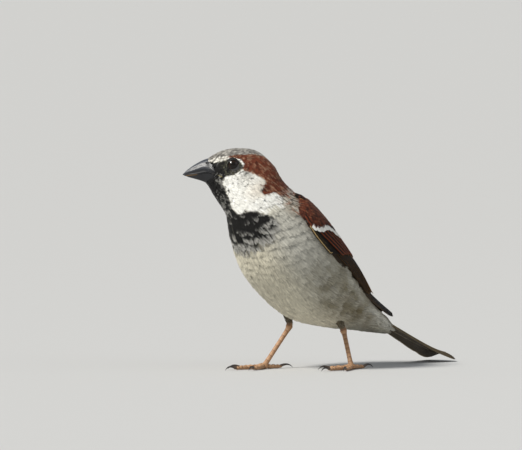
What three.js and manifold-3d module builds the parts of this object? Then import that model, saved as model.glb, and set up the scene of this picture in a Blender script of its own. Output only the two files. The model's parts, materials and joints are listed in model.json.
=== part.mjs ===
// House sparrow, adult male, standing alert with its head turned to its right.
// A life-size display model: every solid reaches out to the tips of the plumage.
// Millimetres, +Z up. The body heads along -Y, and its left side is +X.
import * as THREE from 'three';
import { mergeVertices } from 'three/addons/utils/BufferGeometryUtils.js';
import Module from 'manifold-3d';

const wasm = await Module();
wasm.setup();

const { degToRad, lerp, clamp } = THREE.MathUtils;
const point3 = (x, y, z) => new THREE.Vector3(x, y, z);

// ---------- Driving dimensions ----------

const GAP = 0.3; // clearance between neighbouring solids
const HEAD_TURN = degToRad(38); // the head is turned to the bird's right
const NECK_PIVOT = point3(0, -28, 0); // the upright axis that the head turns about

// Stations of the body from inside the bill to the tips of the under-tail coverts.
// Each section is an oval: centre (y, z), half height and half width, the tilt of its
// upright from the vertical in degrees, and the share of the head's turn that it takes.
const BODY_STATIONS = [
  { y: -49.0, z: 79.2, high: 3.6, wide: 3.0, tilt: 2, turn: 1 }, // inside the bill
  { y: -47.4, z: 79.4, high: 4.9, wide: 4.4, tilt: 7, turn: 1 }, // face at the bill
  { y: -43.9, z: 79.7, high: 7.8, wide: 6.8, tilt: 18, turn: 1 }, // lores
  { y: -39.8, z: 79.0, high: 10.5, wide: 8.7, tilt: 30, turn: 1 }, // eyes
  { y: -35.5, z: 77.1, high: 12.5, wide: 10.2, tilt: 39, turn: 1 }, // cheeks
  { y: -31.5, z: 73.1, high: 13.1, wide: 11.2, tilt: 51, turn: 0.9 }, // nape
  { y: -28.4, z: 68.0, high: 13.2, wide: 12.2, tilt: 60, turn: 0.55 }, // neck
  { y: -22.8, z: 59.4, high: 16.6, wide: 15.4, tilt: 58, turn: 0.2 }, // shoulders
  { y: -12.8, z: 48.4, high: 19.9, wide: 18.4, tilt: 51, turn: 0 }, // breast
  { y: 2.1, z: 34.5, high: 18.0, wide: 18.0, tilt: 42, turn: 0 }, // belly
  { y: 14.0, z: 26.6, high: 12.4, wide: 14.4, tilt: 35, turn: 0 }, // flanks
  { y: 25.5, z: 21.2, high: 7.5, wide: 9.6, tilt: 28, turn: 0 }, // rump
  { y: 36.0, z: 16.8, high: 4.3, wide: 6.2, tilt: 26, turn: 0 }, // tail coverts
  { y: 42.5, z: 13.9, high: 2.0, wide: 3.6, tilt: 26, turn: 0 }, // covert tips
];
const BODY_COLUMNS = 28;
const BODY_ROWS = 34;
const HEAD_CUT = 0.385; // share of the way from bill to tail where head meets neck
const NECK_CUT = 0.515; // and where neck meets trunk

// Stations of the left folded wing from its bend to the primary tips: the middle of
// the blade (x, y, z), its half breadth along the arc, the radius of that arc, the lean
// of its outward side above the horizontal in degrees, and its half thickness.
const WING_STATIONS = [
  { x: 12.2, y: -19.4, z: 68.2, half: 3.0, arc: 14, lean: 36, thick: 0.7 },
  { x: 13.6, y: -14.2, z: 65.0, half: 6.5, arc: 14, lean: 42, thick: 1.4 },
  { x: 14.6, y: -7.8, z: 59.4, half: 9.0, arc: 15, lean: 44, thick: 1.7 },
  { x: 14.0, y: -0.2, z: 52.8, half: 10.0, arc: 15, lean: 46, thick: 1.7 },
  { x: 12.4, y: 8.4, z: 45.0, half: 9.4, arc: 15, lean: 47, thick: 1.5 },
  { x: 10.2, y: 16.4, z: 37.4, half: 7.6, arc: 14, lean: 48, thick: 1.3 },
  { x: 7.6, y: 25.0, z: 30.2, half: 4.4, arc: 14, lean: 48, thick: 1.0 },
  { x: 5.2, y: 33.4, z: 25.2, half: 2.8, arc: 14, lean: 46, thick: 0.8 },
  { x: 3.6, y: 41.6, z: 20.6, half: 1.2, arc: 14, lean: 46, thick: 0.5 },
];
const WING_COLUMNS = 14;
const WING_ROWS = 20;
const COVERTS_END = 0.42; // share of the wing's length under the coverts
const TERTIALS_END = 0.8; // where the longest inner feather ends, at the upper edge
const PRIMARIES_TOP = -0.5; // upper limit of the primaries where the coverts end

// The tail's middle line from its root inside the coverts to its tip, on the midline.
const TAIL_LINE = [[22.0, 25.2], [38.0, 17.8], [54.0, 10.1], [65.0, 5.3], [74.0, 2.7]];
const TAIL_HALF_ROOT = 4.8;
const TAIL_HALF_TIP = 9.4;
const TAIL_THICKNESS = 1.5;
const TAIL_DROOP = 0.9; // how far the outer feathers hang below the middle pair
const TAIL_NOTCH = 1.6; // how far the middle pair falls short of the others
const TAIL_CORNER = 3.0; // how far the outer corners are rounded back
const TAIL_MIDDLE = 0.4; // share of the tail's breadth that the middle pair covers

const EYE_RADIUS = 3.1;
const EYE_CENTRE = point3(5.9, -37.6, 81.7); // left eye, with the head not yet turned

// The bill, with the head not yet turned. It points along -Y.
const BILL_ROOT_Y = -43.4; // inside the face
const BILL_FACE_Y = -47.4; // where it comes out of the plumage
const BILL_TIP = point3(0, -57.0, 77.7);
const CULMEN_BASE_Z = 83.7;
const CHIN_BASE_Z = 74.9;
const BILL_HALF_WIDTH = 3.9;
const GAPE_Z = 78.2; // height of the line between the two halves at the face

// Legs: the left one stands back, and the right one stands forward.
const LEGS = {
  left: { knee: [9, 3, 28], ankle: [7.5, 11.6, 15.2], foot: [14.9, 9.0], heading: 8 },
  right: { knee: [-9, -6, 31], ankle: [-8, -2.8, 16.7], foot: [-10.2, -14.6], heading: -8 },
};
const THIGH_RADIUS = 4.2;
const ANKLE_RADIUS = 1.9;
const SHANK_RADIUS = 1.05;
const PALM_RADIUS = 1.75;
const PALM_HEIGHT = 1.5;
const TOE_RADIUS = 1.0;
const TOE_HEIGHT = 0.7; // less than the radius, so each sole is a small flat
// Each toe: its length, the angle it is spread outwards, and the length of its claw.
const TOES = {
  inner: { length: 10.0, spread: -30, claw: 4.0 },
  middle: { length: 14.0, spread: 0, claw: 4.6 },
  outer: { length: 10.5, spread: 27, claw: 4.0 },
  hind: { length: 8.0, spread: 180, claw: 5.6 },
};
const CLAW_RADIUS = 0.55;

// ---------- Plain helpers ----------

/** A closed three.js geometry as a solid that can be joined and cut. */
function solidOf(geometry) {
  const bare = geometry.clone();
  bare.deleteAttribute('normal');
  bare.deleteAttribute('uv');
  const merged = mergeVertices(bare, 1e-4);
  return new wasm.Manifold(new wasm.Mesh({
    numProp: 3,
    vertProperties: merged.attributes.position.array,
    triVerts: Uint32Array.from(merged.index.array),
  }));
}

/** A solid as a geometry that a mesh can show. */
function geometryOf(solid) {
  const { vertProperties, triVerts } = solid.getMesh();
  const geometry = new THREE.BufferGeometry();
  geometry.setAttribute('position', new THREE.BufferAttribute(vertProperties, 3));
  geometry.setIndex(new THREE.BufferAttribute(triVerts, 1));
  geometry.computeVertexNormals();
  return geometry;
}

/** A sphere whose rows and columns are laid where place(along, angle) says. */
function shapedSphere(columns, rows, place) {
  const geometry = new THREE.SphereGeometry(1, columns, rows);
  const { position, uv } = geometry.attributes;
  for (let i = 0; i < position.count; i += 1) {
    const along = 1 - uv.getY(i);
    const column = Math.round(uv.getX(i) * columns) % columns;
    const point = place(along, (column / columns) * 2 * Math.PI);
    position.setXYZ(i, point.x, point.y, point.z);
  }
  return geometry;
}

/** Smooth values through a list of stations: its fields at 0 <= along <= 1. */
function smoothStations(stations) {
  const fields = Object.keys(stations[0]);
  const curves = fields.map((field) => new THREE.CatmullRomCurve3(
    stations.map((station) => point3(station[field], 0, 0)),
    false,
    'catmullrom',
    0.5,
  ));
  return (along) => Object.fromEntries(
    fields.map((field, i) => [field, curves[i].getPoint(clamp(along, 0, 1)).x]),
  );
}

/** Shrinks to nothing over the first and last share of a length, as a rounded end. */
function roundedEnds(along, share) {
  const near = Math.min(along, 1 - along) / share;
  return near >= 1 ? 1 : Math.sqrt(Math.max(0, 1 - (1 - near) ** 2));
}

/** Turns a point or a direction about the neck's upright axis by a share of the turn. */
function turned(vector, share, pivot = NECK_PIVOT) {
  return vector.sub(pivot).applyAxisAngle(point3(0, 0, 1), -HEAD_TURN * share).add(pivot);
}

/** A large block whose face passes through a point, and which lies along a direction. */
function halfSpace(point, direction) {
  const size = 300;
  const block = new THREE.BoxGeometry(size, size, size);
  block.translate(0, 0, size / 2);
  const turn = new THREE.Quaternion();
  turn.setFromUnitVectors(point3(0, 0, 1), direction.clone().normalize());
  block.applyQuaternion(turn);
  block.translate(point.x, point.y, point.z);
  return solidOf(block);
}

/** The two sides of a thin cut through a plane: [behind the direction, along it]. */
function partedAt(solid, point, direction) {
  const step = direction.clone().normalize().multiplyScalar(GAP / 2);
  const behind = halfSpace(point.clone().sub(step), step.clone().negate());
  const ahead = halfSpace(point.clone().add(step), step);
  return [solid.intersect(behind), solid.intersect(ahead)];
}

/** The same solid on the other side of the midline. */
const mirrored = (solid) => solid.mirror([1, 0, 0]);

/** A rounded limb along a curve: radiusAt(along) gives its radius. */
function limb(curve, radiusAt, columns, rows) {
  const shape = shapedSphere(columns, rows, (along, angle) => {
    const run = curve.getTangentAt(along);
    const side = point3(0, 0, 1).cross(run);
    if (side.length() < 1e-3) side.set(1, 0, 0);
    side.normalize();
    const over = new THREE.Vector3().crossVectors(side, run);
    const radius = radiusAt(along);
    return curve.getPointAt(along)
      .addScaledVector(side, Math.cos(angle) * radius)
      .addScaledVector(over, Math.sin(angle) * radius);
  });
  return solidOf(shape);
}

// ---------- Body: head, neck and trunk as one smooth shape ----------

const bodyAt = smoothStations(BODY_STATIONS);

function bodyPoint(along, angle, extra) {
  const s = bodyAt(along);
  const end = roundedEnds(along, 0.04);
  const tilt = degToRad(s.tilt);
  const across = Math.cos(angle) * (s.wide + extra) * end;
  const up = Math.sin(angle) * (s.high + extra) * end;
  const point = point3(across, s.y + up * Math.sin(tilt), s.z + up * Math.cos(tilt));
  return turned(point, s.turn);
}

/** The body's outline, or a shape that lies a little outside it all round. */
function bodySolid(extra = 0) {
  return solidOf(shapedSphere(
    BODY_COLUMNS,
    BODY_ROWS,
    (along, angle) => bodyPoint(along, angle, extra),
  ));
}

/** A point and a direction of the plane that crosses the body at a share of its length. */
function bodyPlane(along) {
  const s = bodyAt(along);
  const tilt = degToRad(s.tilt);
  const centre = turned(point3(0, s.y, s.z), s.turn);
  const run = turned(point3(0, Math.cos(tilt), -Math.sin(tilt)), s.turn, point3(0, 0, 0));
  return [centre, run];
}

// ---------- Wings ----------

const wingAt = smoothStations(WING_STATIONS);

/** The left wing's directions at a share of its length: along it, outward and upward. */
function wingFrame(along) {
  const step = 0.01;
  const before = wingAt(along - step);
  const behind = wingAt(along + step);
  const run = point3(behind.x - before.x, behind.y - before.y, behind.z - before.z).normalize();
  const lean = degToRad(wingAt(along).lean);
  const upright = point3(1, 0, 0).cross(run).normalize();
  const outward = point3(Math.cos(lean), 0, 0).addScaledVector(upright, Math.sin(lean));
  outward.addScaledVector(run, -outward.dot(run)).normalize();
  const upward = new THREE.Vector3().crossVectors(outward, run);
  return { run, outward, upward };
}

/** A point of the left wing: across runs from -1, its lower edge, to 1, its upper edge. */
function wingPoint(along, across, through) {
  const s = wingAt(along);
  const { outward, upward } = wingFrame(along);
  const bend = (across * s.half) / s.arc;
  return point3(s.x, s.y, s.z)
    .addScaledVector(upward, Math.sin(bend) * s.arc)
    .addScaledVector(outward, -(1 - Math.cos(bend)) * s.arc)
    .addScaledVector(outward, through * s.thick);
}

/** The whole left wing, or a shape that lies a little outside it all round. */
function wingSolid(extra = 0) {
  const shape = shapedSphere(WING_COLUMNS, WING_ROWS, (along, angle) => {
    const s = wingAt(along);
    const end = roundedEnds(along, 0.12);
    const across = Math.cos(angle) * end * (1 + extra / s.half);
    const through = -Math.sin(angle) * end * (1 + extra / s.thick);
    const point = wingPoint(along, across, through);
    const tipward = lerp(-extra, extra, along);
    return point.addScaledVector(wingFrame(along).run, tipward);
  });
  return solidOf(shape);
}

/** The left wing in three: its coverts, its inner feathers and its primaries. */
function wingPieces() {
  const edge = wingPoint(COVERTS_END, 0, 0);
  const [coverts, rear] = partedAt(wingSolid(), edge, wingFrame(COVERTS_END).run);
  const start = wingPoint(COVERTS_END, PRIMARIES_TOP, 0);
  const finish = wingPoint(TERTIALS_END, 1, 0);
  const { outward } = wingFrame((COVERTS_END + TERTIALS_END) / 2);
  const upward = outward.clone().cross(finish.sub(start));
  const [primaries, secondaries] = partedAt(rear, start, upward);
  return { coverts, secondaries, primaries };
}

// ---------- Tail ----------

const tailLine = new THREE.CatmullRomCurve3(TAIL_LINE.map(([y, z]) => point3(0, y, z)));

/** The tail's blade between two shares of its breadth, from -1 at the right edge to 1. */
function tailBlade(from, to, extra = 0) {
  const shape = new THREE.BoxGeometry(2, 1, 2, 4, 10, 1);
  const { position } = shape.attributes;
  for (let i = 0; i < position.count; i += 1) {
    const share = lerp(from, to, (position.getX(i) + 1) / 2);
    const along = position.getY(i) + 0.5;
    const side = Math.abs(share);
    const shorten = TAIL_NOTCH * (1 - side) ** 2 + TAIL_CORNER * side ** 6;
    const reach = along * (1 - shorten / tailLine.getLength());
    const run = tailLine.getTangentAt(reach);
    const upward = run.clone().cross(point3(1, 0, 0)).negate();
    const half = lerp(TAIL_HALF_ROOT, TAIL_HALF_TIP, along) + extra;
    const thick = TAIL_THICKNESS * lerp(1, 0.75, along) * (1 - 0.35 * side ** 4) + 2 * extra;
    const place = tailLine.getPointAt(reach)
      .addScaledVector(upward, (position.getZ(i) * thick) / 2 - TAIL_DROOP * side ** 2 * along)
      .add(point3(share * half, 0, 0));
    position.setXYZ(i, place.x, place.y, place.z);
  }
  return solidOf(shape);
}

// ---------- Bill ----------

/** The bill's section at a share of its length, from its root to its tip. */
function billSection(along) {
  const y = lerp(BILL_ROOT_Y, BILL_TIP.y, along);
  const out = clamp((y - BILL_FACE_Y) / (BILL_TIP.y - BILL_FACE_Y), 0, 1);
  const top = lerp(CULMEN_BASE_Z, BILL_TIP.z, out ** 1.6);
  const bottom = lerp(CHIN_BASE_Z, BILL_TIP.z, out ** 1.1);
  const half = BILL_HALF_WIDTH * (1 - out ** 1.25) ** 0.9;
  const inside = clamp((y - BILL_FACE_Y) / (BILL_ROOT_Y - BILL_FACE_Y), 0, 1);
  return { y, top, bottom, half, slim: lerp(1, 0.72, inside) };
}

function billSolid(extra = 0) {
  const shape = shapedSphere(14, 12, (along, angle) => {
    const s = billSection(along);
    const end = roundedEnds(along, 0.05);
    const middle = (s.top + s.bottom) / 2;
    const high = (((s.top - s.bottom) / 2) * s.slim + extra) * end;
    const half = (s.half * s.slim + extra) * end;
    const place = point3(
      -Math.cos(angle) * half,
      s.y + lerp(extra, -extra, along),
      middle + Math.sin(angle) * high,
    );
    return turned(place, 1);
  });
  return solidOf(shape);
}

/** Everything below the line of the closed bill, raised by a small step. */
function belowGape(raise) {
  const wide = 12;
  const deep = 20;
  const shape = new THREE.Shape();
  shape.moveTo(BILL_ROOT_Y + 2, GAPE_Z - 1.4 + raise);
  shape.quadraticCurveTo(BILL_FACE_Y, GAPE_Z + 0.9 + raise, BILL_TIP.y - 2, BILL_TIP.z + raise);
  shape.lineTo(BILL_TIP.y - 2, BILL_TIP.z - deep);
  shape.lineTo(BILL_ROOT_Y + 2, BILL_TIP.z - deep);
  const block = new THREE.ExtrudeGeometry(shape, {
    depth: wide,
    bevelEnabled: false,
    curveSegments: 8,
  });
  const { position } = block.attributes;
  for (let i = 0; i < position.count; i += 1) {
    const place = point3(position.getZ(i) - wide / 2, position.getX(i), position.getY(i));
    turned(place, 1);
    position.setXYZ(i, place.x, place.y, place.z);
  }
  return solidOf(block);
}

// ---------- Eyes ----------

/** One eyeball, or the socket round it. side is 1 for the left eye and -1 for the right. */
function eyeSolid(side, extra = 0) {
  const ball = new THREE.SphereGeometry(EYE_RADIUS + extra, 12, 10);
  const centre = turned(point3(side * EYE_CENTRE.x, EYE_CENTRE.y, EYE_CENTRE.z), 1);
  ball.translate(centre.x, centre.y, centre.z);
  return solidOf(ball);
}

// ---------- Legs ----------

/** The feathered upper leg, from inside the belly down to the ankle. */
function thighSolid({ knee, ankle }) {
  const bone = new THREE.LineCurve3(point3(...knee), point3(...ankle));
  const radius = (along) => lerp(THIGH_RADIUS, ANKLE_RADIUS, along ** 0.7) * roundedEnds(along, 0.12);
  return limb(bone, radius, 14, 10);
}

/** The bare shank with the pad that the toes grow from. */
function shankSolid({ ankle, foot }, extra = 0) {
  const pad = point3(foot[0], foot[1], PALM_HEIGHT);
  const bone = new THREE.LineCurve3(point3(...ankle), pad);
  const waist = (along) => 1 + 0.35 * (2 * along - 1) ** 4;
  const radius = (along) => (SHANK_RADIUS * waist(along) + extra) * roundedEnds(along, 0.06);
  const ball = new THREE.SphereGeometry(PALM_RADIUS + extra, 8, 6);
  ball.translate(pad.x, pad.y, pad.z);
  return limb(bone, radius, 8, 6).add(solidOf(ball));
}

/** A toe and its claw, laid on the floor and pointing away from the pad. */
function toeSolids({ foot, heading }, { length, spread, claw }, side, extra = 0) {
  const angle = degToRad(heading + side * spread);
  const forward = point3(Math.sin(angle), -Math.cos(angle), 0);
  const at = (distance, height) => point3(foot[0], foot[1], height).addScaledVector(forward, distance);
  const bone = new THREE.LineCurve3(at(0, TOE_HEIGHT), at(length, TOE_HEIGHT));
  const pads = (along) => 1 - 0.22 * along + 0.07 * Math.cos(along * length * 1.6);
  const radius = (along) => (TOE_RADIUS * pads(along) + extra) * roundedEnds(along, 0.1);
  const toe = limb(bone, radius, 8, 6);
  const hook = new THREE.QuadraticBezierCurve3(
    at(length + GAP, TOE_HEIGHT + 0.1),
    at(length + claw * 0.65, TOE_HEIGHT + 1.2),
    at(length + claw, 0.12),
  );
  const taper = (along) => CLAW_RADIUS * (1.05 - along) ** 0.7 * roundedEnds(along, 0.06);
  return [toe, limb(hook, taper, 6, 6)];
}

// ---------- Assembly ----------

const COLOURS = {
  head: ['#7d5a45', 0.9],
  neck: ['#b9aca0', 0.9],
  trunk: ['#a39c8f', 0.9],
  thigh: ['#8a8378', 0.9],
  coverts: ['#6f3f28', 0.85],
  flight: ['#33291f', 0.8],
  tail: ['#4b4034', 0.8],
  bill: ['#17181a', 0.35],
  eye: ['#120c08', 0.05],
  leg: ['#9a6a52', 0.6],
  claw: ['#2c211b', 0.4],
};

const sparrow = new THREE.Group();

function add(name, solid, finish) {
  const [color, roughness] = COLOURS[finish];
  const material = new THREE.MeshStandardMaterial({ color, roughness, metalness: 0 });
  const mesh = new THREE.Mesh(geometryOf(solid), material);
  mesh.name = name;
  sparrow.add(mesh);
}

const floor = halfSpace(point3(0, 0, 0), point3(0, 0, 1));
const sides = { left: 1, right: -1 };

// The body's shape without the hollows for what grows from it or lies on it.
const wingRoom = wingSolid(GAP);
const body = bodySolid()
  .subtract(wingRoom)
  .subtract(mirrored(wingRoom))
  .subtract(tailBlade(-1, 1, GAP));
const [wholeHead, rest] = partedAt(body, ...bodyPlane(HEAD_CUT));
const [neck, trunk] = partedAt(rest, ...bodyPlane(NECK_CUT));

let head = wholeHead.subtract(billSolid(GAP));
for (const side of Object.values(sides)) head = head.subtract(eyeSolid(side, GAP));
add('head', head, 'head');
add('neck', neck, 'neck');
add('trunk', trunk, 'trunk');

add('upper_bill', billSolid().subtract(belowGape(GAP / 2)), 'bill');
add('lower_bill', billSolid().intersect(belowGape(-GAP / 2)), 'bill');

const wing = wingPieces();
const around = bodySolid(GAP);
for (const [name, side] of Object.entries(sides)) {
  const onSide = (solid) => (side > 0 ? solid : mirrored(solid));
  add(`${name}_eye`, eyeSolid(side), 'eye');
  add(`${name}_wing_coverts`, onSide(wing.coverts), 'coverts');
  add(`${name}_wing_secondaries`, onSide(wing.secondaries), 'flight');
  add(`${name}_wing_primaries`, onSide(wing.primaries), 'flight');

  const leg = LEGS[name];
  const shankRoom = shankSolid(leg, GAP);
  add(`${name}_thigh`, thighSolid(leg).subtract(around).subtract(shankRoom), 'thigh');
  add(`${name}_shank`, shankSolid(leg).intersect(floor), 'leg');
  const [middleRoom] = toeSolids(leg, TOES.middle, side, GAP);
  for (const [toeName, size] of Object.entries(TOES)) {
    const [toe, claw] = toeSolids(leg, size, side);
    const clear = toeName === 'middle' ? toe : toe.subtract(middleRoom);
    add(`${name}_toe_${toeName}`, clear.subtract(shankRoom).intersect(floor), 'leg');
    add(`${name}_claw_${toeName}`, claw, 'claw');
  }
}

const middle = TAIL_MIDDLE;
const slit = GAP / (TAIL_HALF_ROOT + TAIL_HALF_TIP);
add('tail_middle', tailBlade(-middle + slit, middle - slit), 'tail');
add('tail_left', tailBlade(middle + slit, 1), 'tail');
add('tail_right', tailBlade(-1, -middle - slit), 'tail');

// The origin is on the floor, below the middle of the whole bird.
const box = new THREE.Box3().setFromObject(sparrow);
const centre = box.getCenter(new THREE.Vector3());
sparrow.position.set(-centre.x, -centre.y, 0);

export default sparrow;
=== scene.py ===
# %% [markdown]
# # A house sparrow in feathers
# The solids from the CAD step are the bird's true outline, out to the feather tips.
# This lesson dresses them: one skin, then a coat of many small feather locks, then the
# large vanes of the wings and the tail, then the bill, the eyes and the claws.
# Lengths are worked out in millimetres, the size of a bird's details, and are turned
# into metres only where a mesh is made.

# %% Load the frame
import json
import math

import bmesh
import bpy
import numpy as np
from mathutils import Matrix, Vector
from mathutils.bvhtree import BVHTree
from mathutils.kdtree import KDTree

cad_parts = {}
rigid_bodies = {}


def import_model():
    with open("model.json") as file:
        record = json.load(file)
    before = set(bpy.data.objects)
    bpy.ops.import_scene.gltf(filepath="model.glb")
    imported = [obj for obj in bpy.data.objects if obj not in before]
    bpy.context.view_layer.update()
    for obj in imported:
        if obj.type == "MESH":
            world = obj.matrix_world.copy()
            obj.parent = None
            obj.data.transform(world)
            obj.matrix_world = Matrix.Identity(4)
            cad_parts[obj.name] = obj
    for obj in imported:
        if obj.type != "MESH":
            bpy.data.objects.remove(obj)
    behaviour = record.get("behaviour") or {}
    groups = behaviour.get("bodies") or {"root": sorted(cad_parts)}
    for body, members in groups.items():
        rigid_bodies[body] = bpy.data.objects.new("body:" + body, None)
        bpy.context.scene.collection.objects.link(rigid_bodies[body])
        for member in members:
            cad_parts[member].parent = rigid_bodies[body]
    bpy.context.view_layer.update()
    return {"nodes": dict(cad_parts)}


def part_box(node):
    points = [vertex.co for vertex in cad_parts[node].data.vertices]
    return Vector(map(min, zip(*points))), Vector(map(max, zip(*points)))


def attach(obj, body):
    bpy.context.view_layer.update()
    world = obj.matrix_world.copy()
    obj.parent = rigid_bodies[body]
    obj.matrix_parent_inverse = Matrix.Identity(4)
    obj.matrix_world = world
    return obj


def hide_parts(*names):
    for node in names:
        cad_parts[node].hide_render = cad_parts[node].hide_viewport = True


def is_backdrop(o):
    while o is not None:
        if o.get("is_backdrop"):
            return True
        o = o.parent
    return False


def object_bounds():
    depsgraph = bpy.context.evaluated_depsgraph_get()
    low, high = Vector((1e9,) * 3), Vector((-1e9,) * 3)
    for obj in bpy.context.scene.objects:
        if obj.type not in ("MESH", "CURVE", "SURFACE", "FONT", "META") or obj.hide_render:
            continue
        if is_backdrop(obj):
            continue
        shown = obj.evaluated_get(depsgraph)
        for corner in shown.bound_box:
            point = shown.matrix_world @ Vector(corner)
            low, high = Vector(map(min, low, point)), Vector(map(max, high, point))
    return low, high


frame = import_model()
MM = 0.001
rng = np.random.default_rng(12)

# %% [markdown]
# ## Small tools
# Every piece below is worked out as arrays of points, because a coat has far too many
# locks to make one by one with operators. A mesh is then filled in a few calls.

# %% Colours, ramps and noise
def unit(vectors):
    """The same directions with length one."""
    return vectors / np.maximum(np.linalg.norm(vectors, axis=-1, keepdims=True), 1e-12)


def rgb(r, g, b):
    """A screen colour in bytes as the linear colour that light is worked out in."""
    c = np.array([r, g, b]) / 255
    return np.where(c <= 0.04045, c / 12.92, ((c + 0.055) / 1.055) ** 2.4)


def ramp(x, low, high):
    """0 below low, 1 above high, and a smooth rise between."""
    t = np.clip((np.asarray(x, float) - low) / (high - low), 0, 1)
    return t * t * (3 - 2 * t)


def blend(a, b, share):
    """A mix of two colours or arrays of colours, point by point."""
    share = np.asarray(share, float)[..., None]
    return a * (1 - share) + b * share


def lattice(cells):
    """A pseudo-random number from -1 to 1 for each whole cell number."""
    h = cells[..., 0] * 127.1 + cells[..., 1] * 311.7 + cells[..., 2] * 74.7
    s = np.sin(h) * 43758.5453
    return 2 * (s - np.floor(s)) - 1


def hill(*axes):
    """1 at a middle and less all round it. Each axis is (values, middle, breadth)."""
    return np.exp(-sum(((x - middle) / breadth) ** 2 for x, middle, breadth in axes))


def column(count):
    """Even steps from 0 to 1, one in each row."""
    return np.linspace(0, 1, count)[:, None]


def bent(t, start, middle, end):
    """A curve from start to end that leans towards middle."""
    return (1 - t) ** 2 * start + 2 * t * (1 - t) * middle + t * t * end


def full_turn(count, start=0.0):
    """Angles evenly set round a full turn."""
    return np.linspace(start, start + 2 * math.pi, count, endpoint=False)


def run_along(path):
    """How far each point of a path is from its start, measured along it."""
    steps = np.linalg.norm(np.diff(path, axis=0), axis=1)
    return np.concatenate([[0], np.cumsum(steps)])


def patches(points, size):
    """Smooth noise from about -1 to 1 with patches of this size, in the points' unit."""
    p = np.asarray(points, float) / size
    base = np.floor(p)
    w = p - base
    w = w * w * (3 - 2 * w)
    total = 0
    for corner in np.ndindex(2, 2, 2):
        c = np.array(corner)
        weight = np.prod(np.where(c == 1, w, 1 - w), axis=-1)
        total = total + weight * lattice(base + c)
    return total


# %% Meshes from arrays
def new_object(name, data):
    """An object in the scene."""
    made = bpy.data.objects.new(name, data)
    bpy.context.collection.objects.link(made)
    return made


def store(items, key, values):
    """Fill one property of many items in one call."""
    items.foreach_set(key, np.asarray(values, np.float32).ravel())


def paint(mesh, tint):
    """Keep a colour for each point of a mesh."""
    layer = mesh.color_attributes.new("tint", "FLOAT_COLOR", "POINT")
    store(layer.data, "color", np.concatenate([tint, np.ones((len(tint), 1))], axis=1))


def mesh_piece(name, verts, faces, material, tint=None, normals=None, patch=None):
    """A mesh object from arrays in millimetres. faces is a list of index arrays by corners."""
    mesh = bpy.data.meshes.new(name)
    loops = np.concatenate([f.ravel() for f in faces])
    sizes = np.concatenate([np.full(len(f), f.shape[1]) for f in faces])
    starts = np.concatenate([[0], np.cumsum(sizes)[:-1]])
    mesh.vertices.add(len(verts))
    store(mesh.vertices, "co", np.asarray(verts) * MM)
    mesh.loops.add(len(loops))
    mesh.loops.foreach_set("vertex_index", loops.astype(np.int32))
    mesh.polygons.add(len(sizes))
    mesh.polygons.foreach_set("loop_start", starts.astype(np.int32))
    mesh.polygons.foreach_set("use_smooth", np.ones(len(sizes), bool))
    mesh.update(calc_edges=True)
    if tint is not None:
        paint(mesh, tint)
    if patch is not None:
        store(mesh.uv_layers.new(name="OFBake").data, "uv", patch[loops])
    if normals is not None:
        mesh.normals_split_custom_set_from_vertices(unit(normals))
    mesh.materials.append(material)
    return new_object(name, mesh)


def triangles(piece):
    """How many triangles a piece's faces make."""
    return sum(len(p.vertices) - 2 for p in piece.data.polygons)


# %% [markdown]
# ## Camera, light and floor
# A long lens from far away keeps the small body's proportions. It looks from the bird's
# left front, just above its feet. The light is a soft sun from the front, high up, with
# a weak fill from the left and a pale sky, so that the crown and the breast are bright
# and the belly turns away into shade.

# %% The view
VIEW_AROUND = 48
VIEW_ABOVE = 3
VIEW_DISTANCE = 4.0
VIEW_WIDTH = 0.2047
SENSOR = 36


def way_to(around, above):
    """The direction to a place round the bird and above it, in degrees."""
    a, e = math.radians(around), math.radians(above)
    return Vector((math.sin(a) * math.cos(e), -math.cos(a) * math.cos(e), math.sin(e)))


def facing(back):
    """The turn of a camera or lamp that looks away from a direction."""
    return (-back).to_track_quat("-Z", "Y").to_euler()


def node_centre(node):
    low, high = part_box(node)
    return (Vector(low) + Vector(high)) / 2


view_back = way_to(VIEW_AROUND, VIEW_ABOVE)
view_right = Vector((math.cos(math.radians(VIEW_AROUND)), math.sin(math.radians(VIEW_AROUND)), 0))
view_up = view_back.cross(view_right)
eye_left = node_centre("left_eye")
aim = eye_left + view_right * 0.0110 - view_up * 0.0235
camera_data = bpy.data.cameras.new("camera")
camera_data.sensor_width = SENSOR
camera_data.lens = SENSOR * VIEW_DISTANCE / VIEW_WIDTH
camera_data.clip_end = 50
camera = new_object("camera", camera_data)
camera.location = aim + view_back * VIEW_DISTANCE
camera.rotation_euler = facing(view_back)
bpy.context.scene.camera = camera
print("lens, mm:", round(camera_data.lens))


# %% Lamps
LAMP_AIM = Vector((0, 0, 0.05))
LAMP_DISTANCE = 1.2


def lamp(name, kind, around, above, strength, tone, size):
    """A lamp that shines on the bird. size is a sun's angle in degrees or a disk's breadth."""
    data = bpy.data.lights.new(name, kind)
    data.energy = strength
    data.color = tone
    if kind == "SUN":
        data.angle = math.radians(size)
    else:
        data.shape = "DISK"
        data.size = size
    made = new_object(name, data)
    back = way_to(around, above)
    made.location = LAMP_AIM + back * LAMP_DISTANCE
    made.rotation_euler = facing(back)
    made.visible_camera = False
    print(name, "lamp, round and above:", around, above)


lamp("key", "SUN", -4, 46, 3.5, (1.0, 0.975, 0.93), 12)
lamp("fill", "AREA", 110, 30, 1.2, (0.92, 0.96, 1.0), 0.9)

world = bpy.data.worlds.new("world")
world.use_nodes = True
sky = world.node_tree.nodes["Background"]
sky.inputs["Color"].default_value = (0.84, 0.88, 0.93, 1)
sky.inputs["Strength"].default_value = 0.34
bpy.context.scene.world = world
bpy.context.scene.view_settings.view_transform = "Standard"

# %% Floor and backdrop
def new_material(name, **finish):
    """A material, its node tree and its shader. finish sets plain values by socket name."""
    material = bpy.data.materials.new(name)
    material.use_nodes = True
    shader = material.node_tree.nodes["Principled BSDF"]
    for key, value in finish.items():
        shader.inputs[key.replace("_", " ")].default_value = value
    return material, material.node_tree, shader


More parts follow.
